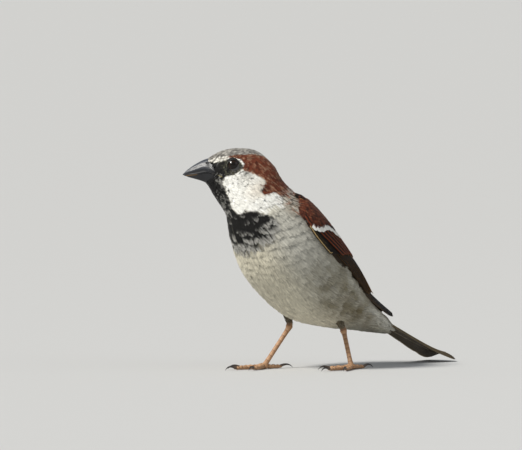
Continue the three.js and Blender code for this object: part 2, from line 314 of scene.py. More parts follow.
FLOOR_RADIUS = 9000
FLOOR_SIDES = 64
turns = full_turn(FLOOR_SIDES)
rim = np.stack([np.cos(turns), np.sin(turns), 0 * turns], axis=-1) * FLOOR_RADIUS
floor_paper, _, _ = new_material("floor_paper", Base_Color=(0.60, 0.60, 0.59, 1), Roughness=0.9)
floor = mesh_piece("floor", rim, [np.arange(FLOOR_SIDES)[None, :]], floor_paper)
floor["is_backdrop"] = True
print("floor, m across:", 2 * FLOOR_RADIUS * MM)

# %% [markdown]
# ## The shape under the feathers
# Head, neck and trunk are one smooth shape: ovals set along a bent line from the bill
# to the tail. Laying the same ovals out again gives every point of the plumage two
# plain numbers, its share of the way from bill to tail and its angle round the body.
# Feathers are then placed and combed in those numbers, like stitches on a sleeve.

# %% Ovals along the body
# y, z, half height, half width, tilt in degrees, share of the head's turn
BODY_OVALS = np.array([
    (-49.0, 79.2, 3.6, 3.0, 2, 1),
    (-47.4, 79.4, 4.9, 4.4, 7, 1),
    (-43.9, 79.7, 7.8, 6.8, 18, 1),
    (-39.8, 79.0, 10.5, 8.7, 30, 1),
    (-35.5, 77.1, 12.5, 10.2, 39, 1),
    (-31.5, 73.1, 13.1, 11.2, 51, 0.9),
    (-28.4, 68.0, 13.2, 12.2, 60, 0.55),
    (-22.8, 59.4, 16.6, 15.4, 58, 0.2),
    (-12.8, 48.4, 19.9, 18.4, 51, 0),
    (2.1, 34.5, 18.0, 18.0, 42, 0),
    (14.0, 26.6, 12.4, 14.4, 35, 0),
    (25.5, 21.2, 7.5, 9.6, 28, 0),
    (36.0, 16.8, 4.3, 6.2, 26, 0),
    (42.5, 13.9, 2.0, 3.6, 26, 0),
])
HEAD_TURN = math.radians(38)
NECK_PIVOT = np.array([0.0, -28.0, 0.0])
EYE_PLACE = np.array([5.9, -37.6, 81.7])


def stations(table, share):
    """Smooth values through the rows of a table at 0 <= share <= 1."""
    last = len(table) - 1
    x = np.clip(np.asarray(share, float), 0, 1) * last
    i = np.minimum(np.floor(x).astype(int), last - 1)
    w = (x - i)[..., None]
    before = np.where((i > 0)[..., None], table[np.maximum(i - 1, 0)], 2 * table[0] - table[1])
    after = np.where(
        (i < last - 1)[..., None], table[np.minimum(i + 2, last)], 2 * table[last] - table[last - 1]
    )
    start, stop = table[i], table[i + 1]
    rise, fall = (stop - before) / 2, (after - start) / 2
    cubic = 2 * start - 2 * stop + rise + fall
    square = -3 * start + 3 * stop - 2 * rise - fall
    return cubic * w**3 + square * w**2 + rise * w + start


def turned(points, share):
    """Points turned about the neck by a share of the head's turn."""
    a = -HEAD_TURN * np.asarray(share, float)
    d = points - NECK_PIVOT
    x = d[..., 0] * np.cos(a) - d[..., 1] * np.sin(a)
    y = d[..., 0] * np.sin(a) + d[..., 1] * np.cos(a)
    return np.stack([x, y, d[..., 2]], axis=-1) + NECK_PIVOT


# The frame's origin is under the middle of the bird: the left eye says how far it moved.
SHIFT = np.array(eye_left) / MM - turned(EYE_PLACE, 1.0)
print("origin shift, mm:", SHIFT.round(2))


def rounded_ends(t, part, least=0.0):
    """A factor that closes a form's two ends in a round way, over a part of its length."""
    near = np.clip(np.minimum(t, 1 - t) / part, 0, 1)
    return np.sqrt(np.maximum(1 - (1 - near) ** 2, least))


def body_point(share, angle):
    """A point on the body's outline."""
    y, z, high, wide, tilt, turn = np.moveaxis(stations(BODY_OVALS, share), -1, 0)
    end = rounded_ends(share, 0.04)
    tilt = np.radians(tilt)
    side = np.cos(angle) * wide * end
    up = np.sin(angle) * high * end
    point = np.stack([side, y + up * np.sin(tilt), z + up * np.cos(tilt)], axis=-1)
    return turned(point, turn) + SHIFT


# %% Sampling the shape quickly
# Steps of these two sizes, taken at once, fill a square evenly and without rows.
EVEN_STEPS = (0.7548776662466927, 0.5698402909980532)


class Shell:
    """A surface laid out by two numbers, kept as a fine grid that is read by points.
    The first, share, runs from 0 to 1. The second, angle, goes round, or from low to high."""

    def __init__(self, place, rows=700, columns=480, low=-math.pi, high=math.pi, closed=True):
        self.rows, self.columns, self.closed = rows, columns, closed
        self.low, self.step = low, (high - low) / (columns if closed else columns - 1)
        share = np.linspace(0, 1, rows)[:, None]
        angle = (low + self.step * np.arange(columns))[None, :]
        self.share, self.angle = np.broadcast_arrays(share, angle)
        self.point = place(self.share, self.angle)
        along = np.gradient(self.point, 1 / (rows - 1), axis=0)
        if closed:
            ring = np.concatenate([self.point[:, -1:], self.point, self.point[:, :1]], axis=1)
            around = (ring[:, 2:] - ring[:, :-2]) / (2 * self.step)
        else:
            around = np.gradient(self.point, self.step, axis=1)
        out = np.cross(along, around)
        self.out = unit(out)
        self.area = np.linalg.norm(out, axis=-1)
        self.cell = self.step / (rows - 1)
        self.table = np.concatenate([self.point, along, around, self.out], axis=-1)

    def read(self, table, share, angle):
        """Values of a grid at shares and angles."""
        x = np.clip(share, 0, 1) * (self.rows - 1)
        i = np.minimum(x.astype(int), self.rows - 2)
        u = (x - i)[..., None]
        y = (angle - self.low) / self.step
        if not self.closed:
            y = np.clip(y, 0, self.columns - 1.001)
        j = np.floor(y).astype(int)
        v = (y - j)[..., None]
        j0, j1 = j % self.columns, (j + 1) % self.columns
        near = table[i, j0] * (1 - v) + table[i, j1] * v
        far = table[i + 1, j0] * (1 - v) + table[i + 1, j1] * v
        return near * (1 - u) + far * u

    def at(self, share, angle):
        """Point, direction along, direction around and outward direction."""
        found = self.read(self.table, share, angle)
        return found[..., :3], found[..., 3:6], found[..., 6:9], unit(found[..., 9:])

    def spread(self, weight):
        """Evenly staggered points, with as many in each place as weight per mm2 says."""
        weight = weight * self.area
        count = int(weight.sum() * self.cell)
        first, second = ((0.5 + step * np.arange(1, count + 1)) % 1 for step in EVEN_STEPS)
        rows = np.cumsum(weight.sum(axis=1))
        at_row = np.interp(first * rows[-1], rows, np.arange(self.rows))
        row = np.clip(np.round(at_row).astype(int), 0, self.rows - 1)
        ring = np.cumsum(weight[row], axis=1)
        target = second * ring[:, -1]
        at_column = (ring < target[:, None]).sum(axis=1)
        before = np.where(at_column > 0, ring[np.arange(count), np.maximum(at_column - 1, 0)], 0)
        here = ring[np.arange(count), np.minimum(at_column, self.columns - 1)]
        part = (target - before) / np.maximum(here - before, 1e-12)
        return at_row / (self.rows - 1), self.low + (at_column + part) * self.step


outline = Shell(body_point)
print("plumage area, mm2:", round(float(outline.area.sum() * outline.cell)))

# %% [markdown]
# ## The markings
# A cock sparrow has a grey crown, chestnut from the eye down the nape, a black mask and
# bib, white cheeks, a pale grey breast and dusky flanks. They could be painted on a
# picture, but a picture has to be wrapped round the body. Here each patch is an outline
# drawn in the body's own two numbers, so skin and feathers, left and right, agree.

# %% Where each patch lies
# Share of the way from bill to tail, and degrees from the breast line (-90) to the back.
MASK = [
    (0, 60), (0.061, 52), (0.126, 28.5), (0.172, 26), (0.208, 34.5), (0.245, 33.5), (0.270, 27),
    (0.298, 18), (0.290, 9.5), (0.277, -0.5), (0.248, -7.5), (0.235, -12.5), (0.249, -28.5),
    (0.303, -36.5), (0.363, -45.5), (0.422, -57.5), (0.462, -61.5), (0.47, -91), (0, -91),
]
BIB = [
    (0.40, -91), (0.422, -57.5), (0.462, -60), (0.461, -42.5), (0.468, -30), (0.484, -24),
    (0.500, -15), (0.519, -10.5), (0.537, -13.5), (0.545, -23.5), (0.555, -34), (0.556, -45),
    (0.559, -58), (0.565, -75), (0.566, -91),
]
CHEEK = [
    (0.235, -12.5), (0.248, -7.5), (0.277, -0.5), (0.290, 9.5), (0.298, 16), (0.316, 16),
    (0.374, 24.5), (0.396, 27.5), (0.409, 25), (0.412, 21.5), (0.422, 7), (0.443, 4.5),
    (0.451, 11), (0.456, 21), (0.477, 27), (0.498, 24), (0.505, 12), (0.494, -0.5),
    (0.492, -14.5), (0.484, -24), (0.468, -30), (0.461, -42.5), (0.462, -61.5), (0.422, -57.5),
    (0.363, -45.5), (0.303, -36.5), (0.249, -28.5),
]
CHESTNUT = [
    (0.189, 42.5), (0.232, 49), (0.264, 50), (0.306, 62.5), (0.340, 76), (0.36, 91), (0.51, 91),
    (0.505, 50), (0.492, 36), (0.477, 27), (0.456, 21), (0.451, 11), (0.443, 4.5), (0.422, 7),
    (0.412, 21.5), (0.409, 25), (0.396, 27.5), (0.374, 24.5), (0.316, 16), (0.298, 18),
    (0.275, 28), (0.245, 37), (0.208, 39),
]
EYE_SPOT = [(0.238, 37), (0.262, 34), (0.296, 27), (0.288, 21), (0.268, 22), (0.258, 29)]
BROW = [
    (0.055, 56), (0.126, 29), (0.172, 27), (0.210, 35.5), (0.206, 42), (0.16, 46), (0.10, 56),
    (0.06, 72),
]
SHARE_MM = 75.0
DEGREE_MM = 0.17


def region(share, rise, corners, soft):
    """1 inside an outline, 0 outside, with an edge that is soft over some millimetres."""
    p = np.stack([np.asarray(share) * SHARE_MM, np.asarray(rise) * DEGREE_MM], axis=-1)
    q = np.array(corners, float) * (SHARE_MM, DEGREE_MM)
    nearest = np.full(p.shape[:-1], 1e9)
    inside = np.zeros(p.shape[:-1], bool)
    for a, b in zip(q, np.roll(q, -1, axis=0)):
        edge = b - a
        t = np.clip(((p - a) @ edge) / max(edge @ edge, 1e-9), 0, 1)
        gap = p - a - t[..., None] * edge
        nearest = np.minimum(nearest, np.hypot(gap[..., 0], gap[..., 1]))
        if abs(edge[1]) > 1e-9:
            crosses = (a[1] > p[..., 1]) != (b[1] > p[..., 1])
            at = a[0] + (p[..., 1] - a[1]) / edge[1] * edge[0]
            inside ^= crosses & (p[..., 0] < at)
    signed = np.where(inside, nearest, -nearest)
    return ramp(signed, -soft, soft)


def rise_of(angle):
    """Degrees above the body's side: -90 at the breast line and 90 on the back."""
    return np.degrees(np.arcsin(np.clip(np.sin(angle), -1, 1)))


# %% The plumage colours
BLACK = rgb(20, 19, 18)
WHITE = rgb(238, 237, 230)
CROWN_GREY = rgb(134, 131, 126)
CHESTNUT_RED = rgb(108, 54, 34)
CHESTNUT_DARK = rgb(58, 27, 17)
BUFF = rgb(196, 170, 128)
BREAST_GREY = rgb(192, 190, 180)
# The belly's whitish grey, darkened towards a grey buff as painted shade on the underside.
BELLY_WHITE_SHADED = rgb(206, 200, 180)
FLANK_BROWN = rgb(118, 110, 86)
MANTLE_BROWN = rgb(120, 84, 54)
RUMP_BROWN = rgb(122, 112, 94)
VENT_GREY = rgb(158, 154, 140)


def plumage(share, angle, roll):
    """The colour of the plumage at points, and how white the fringes of its black parts are.
    roll is one random number from 0 to 1 for each point."""
    rise = rise_of(angle)
    point = body_point(share, angle)
    wander = patches(point, 1.6) * 0.35 + patches(point + 40, 0.7) * 0.25
    s = share + wander / SHARE_MM
    r = rise + wander * 2.2

    # The ground colour is the belly's white with painted shade in it. The patches below are laid over
    # it.
    colour = np.broadcast_to(BELLY_WHITE_SHADED, (*np.shape(share), 3))

    def lay(tone, amount):
        nonlocal colour
        tone = rgb(*tone) if isinstance(tone, tuple) else tone
        colour = blend(colour, tone, amount)

    side = ramp(rise, -62, -18)
    lay(BREAST_GREY, side * ramp(share, 0.46, 0.52) * 0.85)
    flank = ramp(share, 0.585, 0.70) * ramp(rise, -62, -25) * (1 - ramp(share, 0.80, 0.88))
    lay(FLANK_BROWN, flank * (0.6 + 0.4 * patches(point, 2.5)))
    lay(VENT_GREY, ramp(share, 0.76, 0.84) * (1 - side))
    # A mottled olive-brown wash on the lower flanks: partly their own dusky colour, partly painted
    # shade on the underside.
    dusk_and_shade = ramp(share, 0.66, 0.76) * (1 - ramp(share, 0.84, 0.92)) * ramp(rise, -70, -30)
    flank_mottle = 0.5 + 0.5 * patches(point, 3.2) + 0.4 * (roll - 0.5)
    dusk_and_shade = dusk_and_shade * np.clip(flank_mottle, 0, 1) * (1 - ramp(rise, -8, 8))
    lay((101, 89, 62), dusk_and_shade * 0.8)
    vent = ramp(share, 0.84, 0.90) * (roll < 0.35)
    lay((112, 106, 92), vent * 0.6)

    back = ramp(rise, 28, 46) * ramp(share, 0.50, 0.53)
    lay(MANTLE_BROWN, back * (1 - ramp(share, 0.66, 0.72)))
    lay(RUMP_BROWN, ramp(rise, 8, 40) * ramp(share, 0.66, 0.74))
    shoulder = ramp(share, 0.475, 0.50) * (1 - ramp(share, 0.53, 0.56)) * ramp(rise, 2, 22)
    lay((170, 158, 140), shoulder * (1 - back) * 0.8)

    crown = ramp(r, 36, 46) * (1 - ramp(s, 0.37, 0.41))
    lay(CROWN_GREY, crown)
    flecks = np.where((roll > 0.70)[..., None], rgb(192, 188, 178), rgb(82, 76, 70))
    lay(flecks, crown * ((roll > 0.70) * 0.7 + (roll < 0.3) * 0.7))
    paler = ramp(r, 40, 60) * (1 - ramp(s, 0.10, 0.20))
    lay((166, 162, 154), paler * 0.6 * (roll > 0.3))
    cheek = region(s, r, CHEEK, 0.35)
    lay(WHITE, cheek)
    smudge = cheek * hill((share, 0.345, 0.03), (rise, 8, 16))
    lay((150, 144, 132), smudge * (0.30 + 0.25 * (roll < 0.4)))
    cream = cheek * ramp(share, 0.36, 0.41) * (1 - ramp(share, 0.43, 0.46)) * ramp(rise, -30, 5)
    lay((212, 200, 182), cream * 0.6)
    ear = cheek * hill((share, 0.325, 0.018), (rise, 15, 6))
    lay((84, 82, 78), ear * 0.75)
    brow = region(s, r, BROW, 0.3)
    lay((226, 223, 214), brow * 0.95)
    lay((150, 142, 128), brow * (roll < 0.22) * ramp(rise, 30, 40) * 0.8)

    chestnut = region(s, r, CHESTNUT, 0.3)
    rust = blend(CHESTNUT_RED, CHESTNUT_DARK, np.clip(roll * 1.5 - 0.4, 0, 1))
    rust = blend(rust, rgb(190, 146, 116), (roll > 0.80) * 0.62)
    grizzle = ramp(share, 0.46, 0.50) * 0.5 + ramp(rise, 60, 90) * 0.25
    rust = blend(rust, rgb(160, 148, 130), (roll < 0.4) * grizzle)
    lay(rust, chestnut)
    nape = ramp(share, 0.465, 0.495) * (1 - ramp(share, 0.54, 0.58)) * ramp(rise, 8, 24)
    grizzled = np.where((roll < 0.22)[..., None], rgb(138, 74, 46), rgb(208, 202, 190))
    grizzled = np.where((roll > 0.8)[..., None], rgb(58, 46, 36), grizzled)
    lay(grizzled, nape * ((roll < 0.5) | (roll > 0.8)) * 0.75)
    lay(WHITE, region(s, r, EYE_SPOT, 0.22))
    crescent = hill((share, 0.424, 0.006), (rise, 13, 7))
    lay(BLACK, np.clip(crescent * 1.4, 0, 1))

    mask = region(s, r, MASK, 0.25)
    black = np.maximum(mask, region(s, r, BIB, 0.45))
    fringe = 0.06 + ramp(share, 0.18, 0.32) * 0.34 - ramp(share, 0.46, 0.49) * 0.20
    fringe = fringe + ramp(share, 0.50, 0.555) * 0.56
    fringe = fringe + ramp(rise, -50, -15) * ramp(share, 0.46, 0.5) * 0.38
    malar = ramp(rise, -42, -28) * (1 - ramp(rise, -10, -2)) * (share < 0.26) * (share > 0.13)
    fringe = black * np.clip(fringe + 0.42 * malar, 0, 1)
    lay(BLACK, black)
    round_eye = hill((eye_gap(point), 3.3, 1.3)) * mask
    lay((104, 103, 84), round_eye * (roll > 0.70) * 0.75)
    return colour, fringe


# %% [markdown]
# ## How the coat lies
# Feathers point from the bill to the tail and part round the eye, as water parts round
# a stone. They are tiny at the bill and the eye and grow to a thumbnail's length on the
# belly. Under a folded wing there is no need for them, but along its edges they lie over it.

# %% The wings seen from the body
def node_tree(*nodes):
    """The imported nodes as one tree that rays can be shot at, in millimetres."""
    verts, faces = [], []
    for node in nodes:
        mesh = frame["nodes"][node].data
        base = len(verts)
        verts += [v.co / MM for v in mesh.vertices]
        faces += [[base + i for i in p.vertices] for p in mesh.polygons]
    return BVHTree.FromPolygons(verts, faces)


SIDES = {"left": 1, "right": -1}
WING_PARTS = ("coverts", "secondaries", "primaries")
WING_NODES = [f"{name}_wing_{part}" for name in SIDES for part in WING_PARTS]
REACH = 9.0
coarse = Shell(body_point, rows=176, columns=120)
wing_tree = node_tree(*WING_NODES)
wing_height = np.full((coarse.rows, coarse.columns), -REACH)
for i in range(80, coarse.rows):
    for j in range(coarse.columns):
        out = Vector(coarse.out[i, j])
        start = Vector(coarse.point[i, j]) + out * REACH
        hit = wing_tree.ray_cast(start, -out, REACH + 4)
        if hit[3] is not None:
            wing_height[i, j] = REACH - hit[3]


def softened(grid, times):
    """A grid with each value shared with its neighbours, going round the body."""
    for _ in range(times):
        padded = np.pad(grid, ((1, 1), (0, 0)), mode="edge")
        padded = np.concatenate([padded[:, -1:], padded, padded[:, :1]], axis=1)
        grid = (
            padded[1:-1, 1:-1] * 4 + padded[:-2, 1:-1] + padded[2:, 1:-1]
            + padded[1:-1, :-2] + padded[1:-1, 2:]
        ) / 8
    return grid


covered = (wing_height > -4).astype(float)
wing_over = softened(np.maximum(wing_height, 0), 4)
wing_share = softened(covered, 5)
print("share of the plumage under the wings:", round(float(covered.mean()), 3))


def wing_at(share, angle):
    """How far a point is under a wing, from 0 to 1, and how far the wing stands out."""
    found = coarse.read(np.stack([wing_share, wing_over], axis=-1), share, angle)
    return found[..., 0], found[..., 1]


# %% Depth, size and lie of the feathers
EYE_RADIUS = 3.1
eyes = {side: np.array(node_centre(f"{name}_eye")) / MM for name, side in SIDES.items()}
eye_axis = unit(eyes[1] - eyes[-1])


def eye_gap(points):
    """Distance from the line through an eye's middle, for the nearer eye."""
    gaps = []
    for side, centre in eyes.items():
        d = points - centre
        out = d @ (eye_axis * side)
        flat = np.linalg.norm(d - out[..., None] * (eye_axis * side), axis=-1)
        gaps.append(np.where(out > -2, flat, 99.0))
    return np.minimum(*gaps)


def between(x, *knots):
    """A value that changes with x, from pairs of x and value."""
    return np.interp(x, [k[0] for k in knots], [k[1] for k in knots])


def small_at_eye(value, share, angle, least, growth, bare):
    """A measure of the coat, kept small round the eyes and growing away from them."""
    gap = eye_gap(body_point(share, angle))
    return np.minimum(value, least + growth * np.maximum(gap - bare, 0))


def coat_depth(share, angle):
    """How far the skin lies under the feathers' tips."""
    depth = between(
        share, (0.05, 0.3), (0.12, 0.45), (0.22, 0.65), (0.35, 1.0), (0.46, 1.5),
        (0.60, 2.2), (0.80, 2.0), (0.92, 1.2), (1.0, 0.7),
    )
    return small_at_eye(depth, share, angle, 0.22, 0.22, 2.7)


def feather_spacing(share, angle):
    """How far apart the feathers' roots are."""
    space = between(
        share, (0.06, 0.55), (0.14, 0.72), (0.25, 0.86), (0.35, 1.02), (0.46, 1.28),
        (0.56, 1.75), (0.70, 2.0), (0.85, 2.2), (1.0, 1.8),
    )
    return small_at_eye(space, share, angle, 0.50, 0.16, 2.6)


def feather_length(share, angle):
    """How long a feather is from its root to its tip."""
    length = between(
        share, (0.06, 1.1), (0.10, 1.7), (0.18, 2.5), (0.28, 3.6), (0.38, 5.0),
        (0.50, 6.8), (0.65, 8.0), (0.80, 8.5), (0.92, 9.0), (1.0, 7.0),
    )
    return small_at_eye(length, share, angle, 0.95, 0.75, 2.8)


# %% Feather roots
FIRST_ROOT = 0.045
LAST_ROOT = 0.93
UNDER_WING = 0.60
EYE_BARE = 2.45
# degrees above the side, share of the way from bill to tail
HORN_EDGE = [
    (-90, 0.045), (-65, 0.064), (-38, 0.104), (-25, 0.130), (0, 0.122), (21, 0.094),
    (57, 0.055), (90, 0.045),
]


def past_horn(share, angle):
    """How far a point is behind the slanting edge where the bill's horn ends."""
    return share - between(rise_of(angle), *HORN_EDGE)


weight = 1 / feather_spacing(outline.share, outline.angle) ** 2
under, _ = wing_at(outline.share, outline.angle)
weight = weight * (under < UNDER_WING)
weight *= (past_horn(outline.share, outline.angle) > 0) & (outline.share < LAST_ROOT)
weight *= eye_gap(outline.point) > EYE_BARE
root_share, root_angle = outline.spread(weight)
print("contour feathers:", len(root_share))


def scattered(surface, share, angle, spacing, amount):
    """Roots moved off their even places by a share of the spacing, so that no rows show."""
    _, along, around, _ = surface.at(share, angle)
    share = share + rng.normal(0, amount, len(share)) * spacing / np.linalg.norm(along, axis=-1)
    angle = angle + rng.normal(0, amount, len(share)) * spacing / np.linalg.norm(around, axis=-1)
    return share, angle


root_share, root_angle = scattered(
    outline, root_share, root_angle, feather_spacing(root_share, root_angle), 0.22
)
root_share = np.clip(root_share, FIRST_ROOT, LAST_ROOT)
root_share -= np.minimum(past_horn(root_share, root_angle), 0)


# %% Combing them
def flow(share, angle):
    """The lie of the coat at points, as an angle from the way to the tail towards the back."""
    point, along, around, _ = outline.at(share, angle)
    heading = np.zeros(len(share))
    ahead, up = unit(along), unit(around)
    for side, centre in eyes.items():
        d = point - centre
        x = (d * ahead).sum(-1)
        y = (d * up).sum(-1)
        r2 = np.maximum(x * x + y * y, EYE_RADIUS**2)
        near = (np.abs(d @ eye_axis * side - EYE_RADIUS) < 6) & (r2 < 140)
        pull = EYE_RADIUS**2 / r2
        vx = 1 - pull * (x * x - y * y) / r2
        vy = -2 * pull * x * y / r2
        heading = np.where(near, np.arctan2(vy, vx), heading)
    rise = rise_of(angle)
    sweep = ramp(share, 0.56, 0.66) * ramp(rise, -45, -5) * (1 - ramp(rise, 20, 40))
    heading += np.sign(np.cos(angle)) * sweep * 0.30 * (1 - ramp(share, 0.78, 0.88))
    return heading


# %% [markdown]
# ## Locks
# Each small feather is a fan of locks, and each lock is a few barbs that cling together:
# a thin closed sliver with three sides, wide at its root and drawn out to a point. Hair
# curves would be quicker, but they are lost when the model leaves Blender, and a real
# mesh keeps its fringe against the light. The locks' shading normals lean towards the
# body's own, which hides their facets and keeps the soft look of down.

# %% Fans of locks
RINGS = 3
PER_LOCK = 3 * RINGS + 1
STOPS = (0.0, 0.42, 0.78, 1.0)
RING_WIDTHS = (0.55, 1.0, 0.72)
FAN_SPREAD = 1.25
BARB_CURL = 0.12
STRAY_LOCKS = 0.03
BAKE_PATCH = 0.003
END_SHARE = 0.955

lock_quads, lock_tris = [], [[0, 1, 2]]
for j in range(RINGS - 1):
    a, b = 3 * j, 3 * j + 3
    lock_quads += [[a, b, b + 1, a + 1], [a + 1, b + 1, b + 2, a + 2], [a + 2, b + 2, b, a]]
a = 3 * (RINGS - 1)
lock_tris += [[a, a + 3, a + 1], [a + 1, a + 3, a + 2], [a + 2, a + 3, a]]
lock_quads, lock_tris = np.array(lock_quads)[:, ::-1], np.array(lock_tris)[:, ::-1]
PER_LOCK_TRIANGLES = 2 * len(lock_quads) + len(lock_tris)
print("triangles in a lock:", PER_LOCK_TRIANGLES)


class Locks:
    """Fans of locks combed over a surface. Feathers are given by their roots, heading, length,
    spacing, number of locks and width of a lock, in mm: one for all, or one for each."""

    def __init__(self, surface, share, angle, heading, length, spacing, number, width, rise):
        self.surface, self.share, self.angle, self.rise = surface, share, angle, rise
        count = len(share)
        measures = (length, spacing, number, width)
        length, spacing, number, width = (np.broadcast_to(m, count) for m in measures)
        self.owner = owner = np.repeat(np.arange(count), number)
        first = np.concatenate([[0], np.cumsum(number)[:-1]])
        self.total = total = len(owner)
        place = (np.arange(total) - first[owner] + rng.uniform(0.2, 0.8, total)) / number[owner]
        self.fan = place * 2 - 1
        self.length = length[owner]
        self.half = spacing[owner] * 0.95
        turn = self.fan * FAN_SPREAD
        end_a = self.length - self.half * 0.9 * (1 - np.cos(turn))
        self.end_a = end_a * rng.uniform(0.93, 1.05, total)
        self.end_b = self.half * np.sin(turn) + rng.normal(0, 0.06, total) * spacing[owner]
        barb = self.length * 0.62 * rng.uniform(0.85, 1.1, total)
        self.start_a = np.maximum(self.end_a - barb, 0)
        self.start_b = self.end_b * 0.30
        self.bend_a = (self.start_a + self.end_a) / 2
        self.bend_b = self.end_b * 0.92 + rng.normal(0, BARB_CURL, total) * spacing[owner]
        self.width = width[owner] * rng.uniform(0.75, 1.25, total)
        self.cos, self.sin = np.cos(heading)[owner], np.sin(heading)[owner]
        _, along, around, _ = surface.at(share, angle)
        half_way = length * 0.5
        middle = share + np.cos(heading) * half_way / np.linalg.norm(along, axis=-1)
        middle_angle = angle + np.sin(heading) * half_way / np.linalg.norm(around, axis=-1)
        _, along, around, _ = surface.at(np.minimum(middle, LAST_ROOT), middle_angle)
        self.per_share = np.linalg.norm(along, axis=-1)[owner]
        self.per_angle = np.linalg.norm(around, axis=-1)[owner]
        self.loose = rng.normal(0, 1, total)
        self.stray = rng.random(total) < STRAY_LOCKS
        self.roll = rng.random(total)
        self.feather_roll = rng.random(count)[owner]
        self.shape()

    def laid(self, t):
        """Where the middle line of every lock runs at a share of its length."""
        a = bent(t, self.start_a, self.bend_a, self.end_a)
        b = bent(t, self.start_b, self.bend_b, self.end_b)
        share = self.share[self.owner] + (a * self.cos - b * self.sin) / self.per_share
        angle = self.angle[self.owner] + (a * self.sin + b * self.cos) / self.per_angle
        return a, b, share, angle

    def shape(self):
        middles, outs = [], []
        for t in STOPS:
            a, b, share, angle = self.laid(t)
            inside = np.minimum(share, END_SHARE)
            point, along, _, out = self.surface.at(inside, angle)
            point = point + along * (share - inside)[:, None]
            run = np.clip(a / self.length, 0, 1)
            across = b / np.maximum(self.half, 0.1)
            height = self.rise(inside, angle, run, across, self.loose, self.stray * t * t)
            middles.append(point + out * height[:, None])
            outs.append(out)
        middles, outs = np.array(middles), np.array(outs)
        runs = unit(np.gradient(middles, axis=0))
        sides = unit(np.cross(runs, outs))
        points, normals = [], []
        for j, width in enumerate(RING_WIDTHS):
            half = (self.width * width / 2)[:, None]
            tilt = outs[j] - runs[j] * 0.12
            points += [middles[j] - sides[j] * half, middles[j] + outs[j] * half * 0.7,
                       middles[j] + sides[j] * half]
            normals += [tilt - sides[j] * 0.45, tilt, tilt + sides[j] * 0.45]
        points.append(middles[-1])
        normals.append(outs[-1] - runs[-1] * 0.12)
        self.points = np.stack(points, axis=1)
        self.normals = np.stack(normals, axis=1)

    def colour(self, root, middle, outer, tip):
        """One colour for each lock at its root, half way, near its end and at its tip."""
        rings = [root] * 3 + [middle] * 3 + [outer] * 3 + [tip]
        self.tints = np.clip(np.stack(rings, axis=1), 0, 1)

    def piece(self, name, material, chosen=None, flip=False):
        """A mesh of the chosen locks, or of all of them."""
        chosen = np.arange(self.total) if chosen is None else np.flatnonzero(chosen)
        base = (np.arange(len(chosen)) * PER_LOCK)[:, None, None]
        quads = (lock_quads[None] + base).reshape(-1, 4)
        tris = (lock_tris[None] + base).reshape(-1, 3)
        points, normals = self.points[chosen], self.normals[chosen]
        if flip:
            points, normals = mirrored(points), normals * np.array([-1, 1, 1])
            quads, tris = quads[:, ::-1], tris[:, ::-1]
        owner = self.owner[chosen]
        span = self.surface.step * self.surface.columns
        home_u = (self.angle[owner] - self.surface.low) / span % 1
        home = np.stack([home_u, self.share[owner]], axis=-1) * (1 - 3 * BAKE_PATCH)
        home = home + rng.uniform(0, 2 * BAKE_PATCH, home.shape)
        corner_u = np.array([0, 0.5, 1] * RINGS + [0.5])
        corner_v = np.array([0, 0.08, 0] + [0.42] * 3 + [0.78] * 3 + [1.0])
        patch = home[:, None, :] + np.stack([corner_u, corner_v], axis=-1) * BAKE_PATCH
        made = mesh_piece(
            name, points.reshape(-1, 3), [quads, tris], material,
            tint=self.tints[chosen].reshape(-1, 3), normals=normals.reshape(-1, 3),
            patch=patch.reshape(-1, 2),
        )
        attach(made, "root")
        print(name, "locks:", len(chosen), "triangles:", len(chosen) * PER_LOCK_TRIANGLES)
        return made


def mirrored(points):
    """The same points on the other side of the trunk's midline."""
    return np.stack([2 * SHIFT[0] - points[..., 0], points[..., 1], points[..., 2]], axis=-1)


# %% The body's locks
def body_rise(share, angle, run, across, loose, stray):
    """How far above the outline each point of a lock stands, mostly below zero."""
    depth = coat_depth(share, angle)
    height = -depth * (1 - run) ** 2.0 - 0.04
    height += depth * (0.03 * loose + 0.10 * stray)
    height -= 0.05 * across**2 * depth
    under, over = wing_at(share, angle)
    rise = rise_of(angle)
    tucked = ramp(share, 0.57, 0.68) * np.maximum(ramp(rise, -5, 10), ramp(share, 0.72, 0.78))
    return height + (over + 0.25 * ramp(under, 0.15, 0.6)) * (1 - tucked) - tucked * under * 0.5


heading = flow(root_share, root_angle) + rng.normal(0, 0.08, len(root_share))
length = feather_length(root_share, root_angle) * rng.uniform(0.9, 1.1, len(root_share))
spacing = feather_spacing(root_share, root_angle)
number = np.round(between(
    root_share, (0.06, 6), (0.2, 9), (0.35, 13), (0.46, 18), (0.6, 26), (0.85, 28), (1.0, 22),
)).astype(int)
width = between(root_share, (0.06, 0.20), (0.2, 0.27), (0.4, 0.36), (0.6, 0.44), (1, 0.44))
width = small_at_eye(width, root_share, root_angle, 0.16, 0.05, 2.6)
coat = Locks(outline, root_share, root_angle, heading, length, spacing, number, width, body_rise)
print("locks on the body:", coat.total)


# %% Their colours
_, _, seen_share, seen_angle = coat.laid(0.8)
seen_share = np.minimum(seen_share, END_SHARE)
both = (coat.roll + coat.feather_roll) / 2
evened = np.where(both < 0.5, 2 * both**2, 1 - 2 * (1 - both) ** 2)
main, fringe = plumage(seen_share, seen_angle, evened)
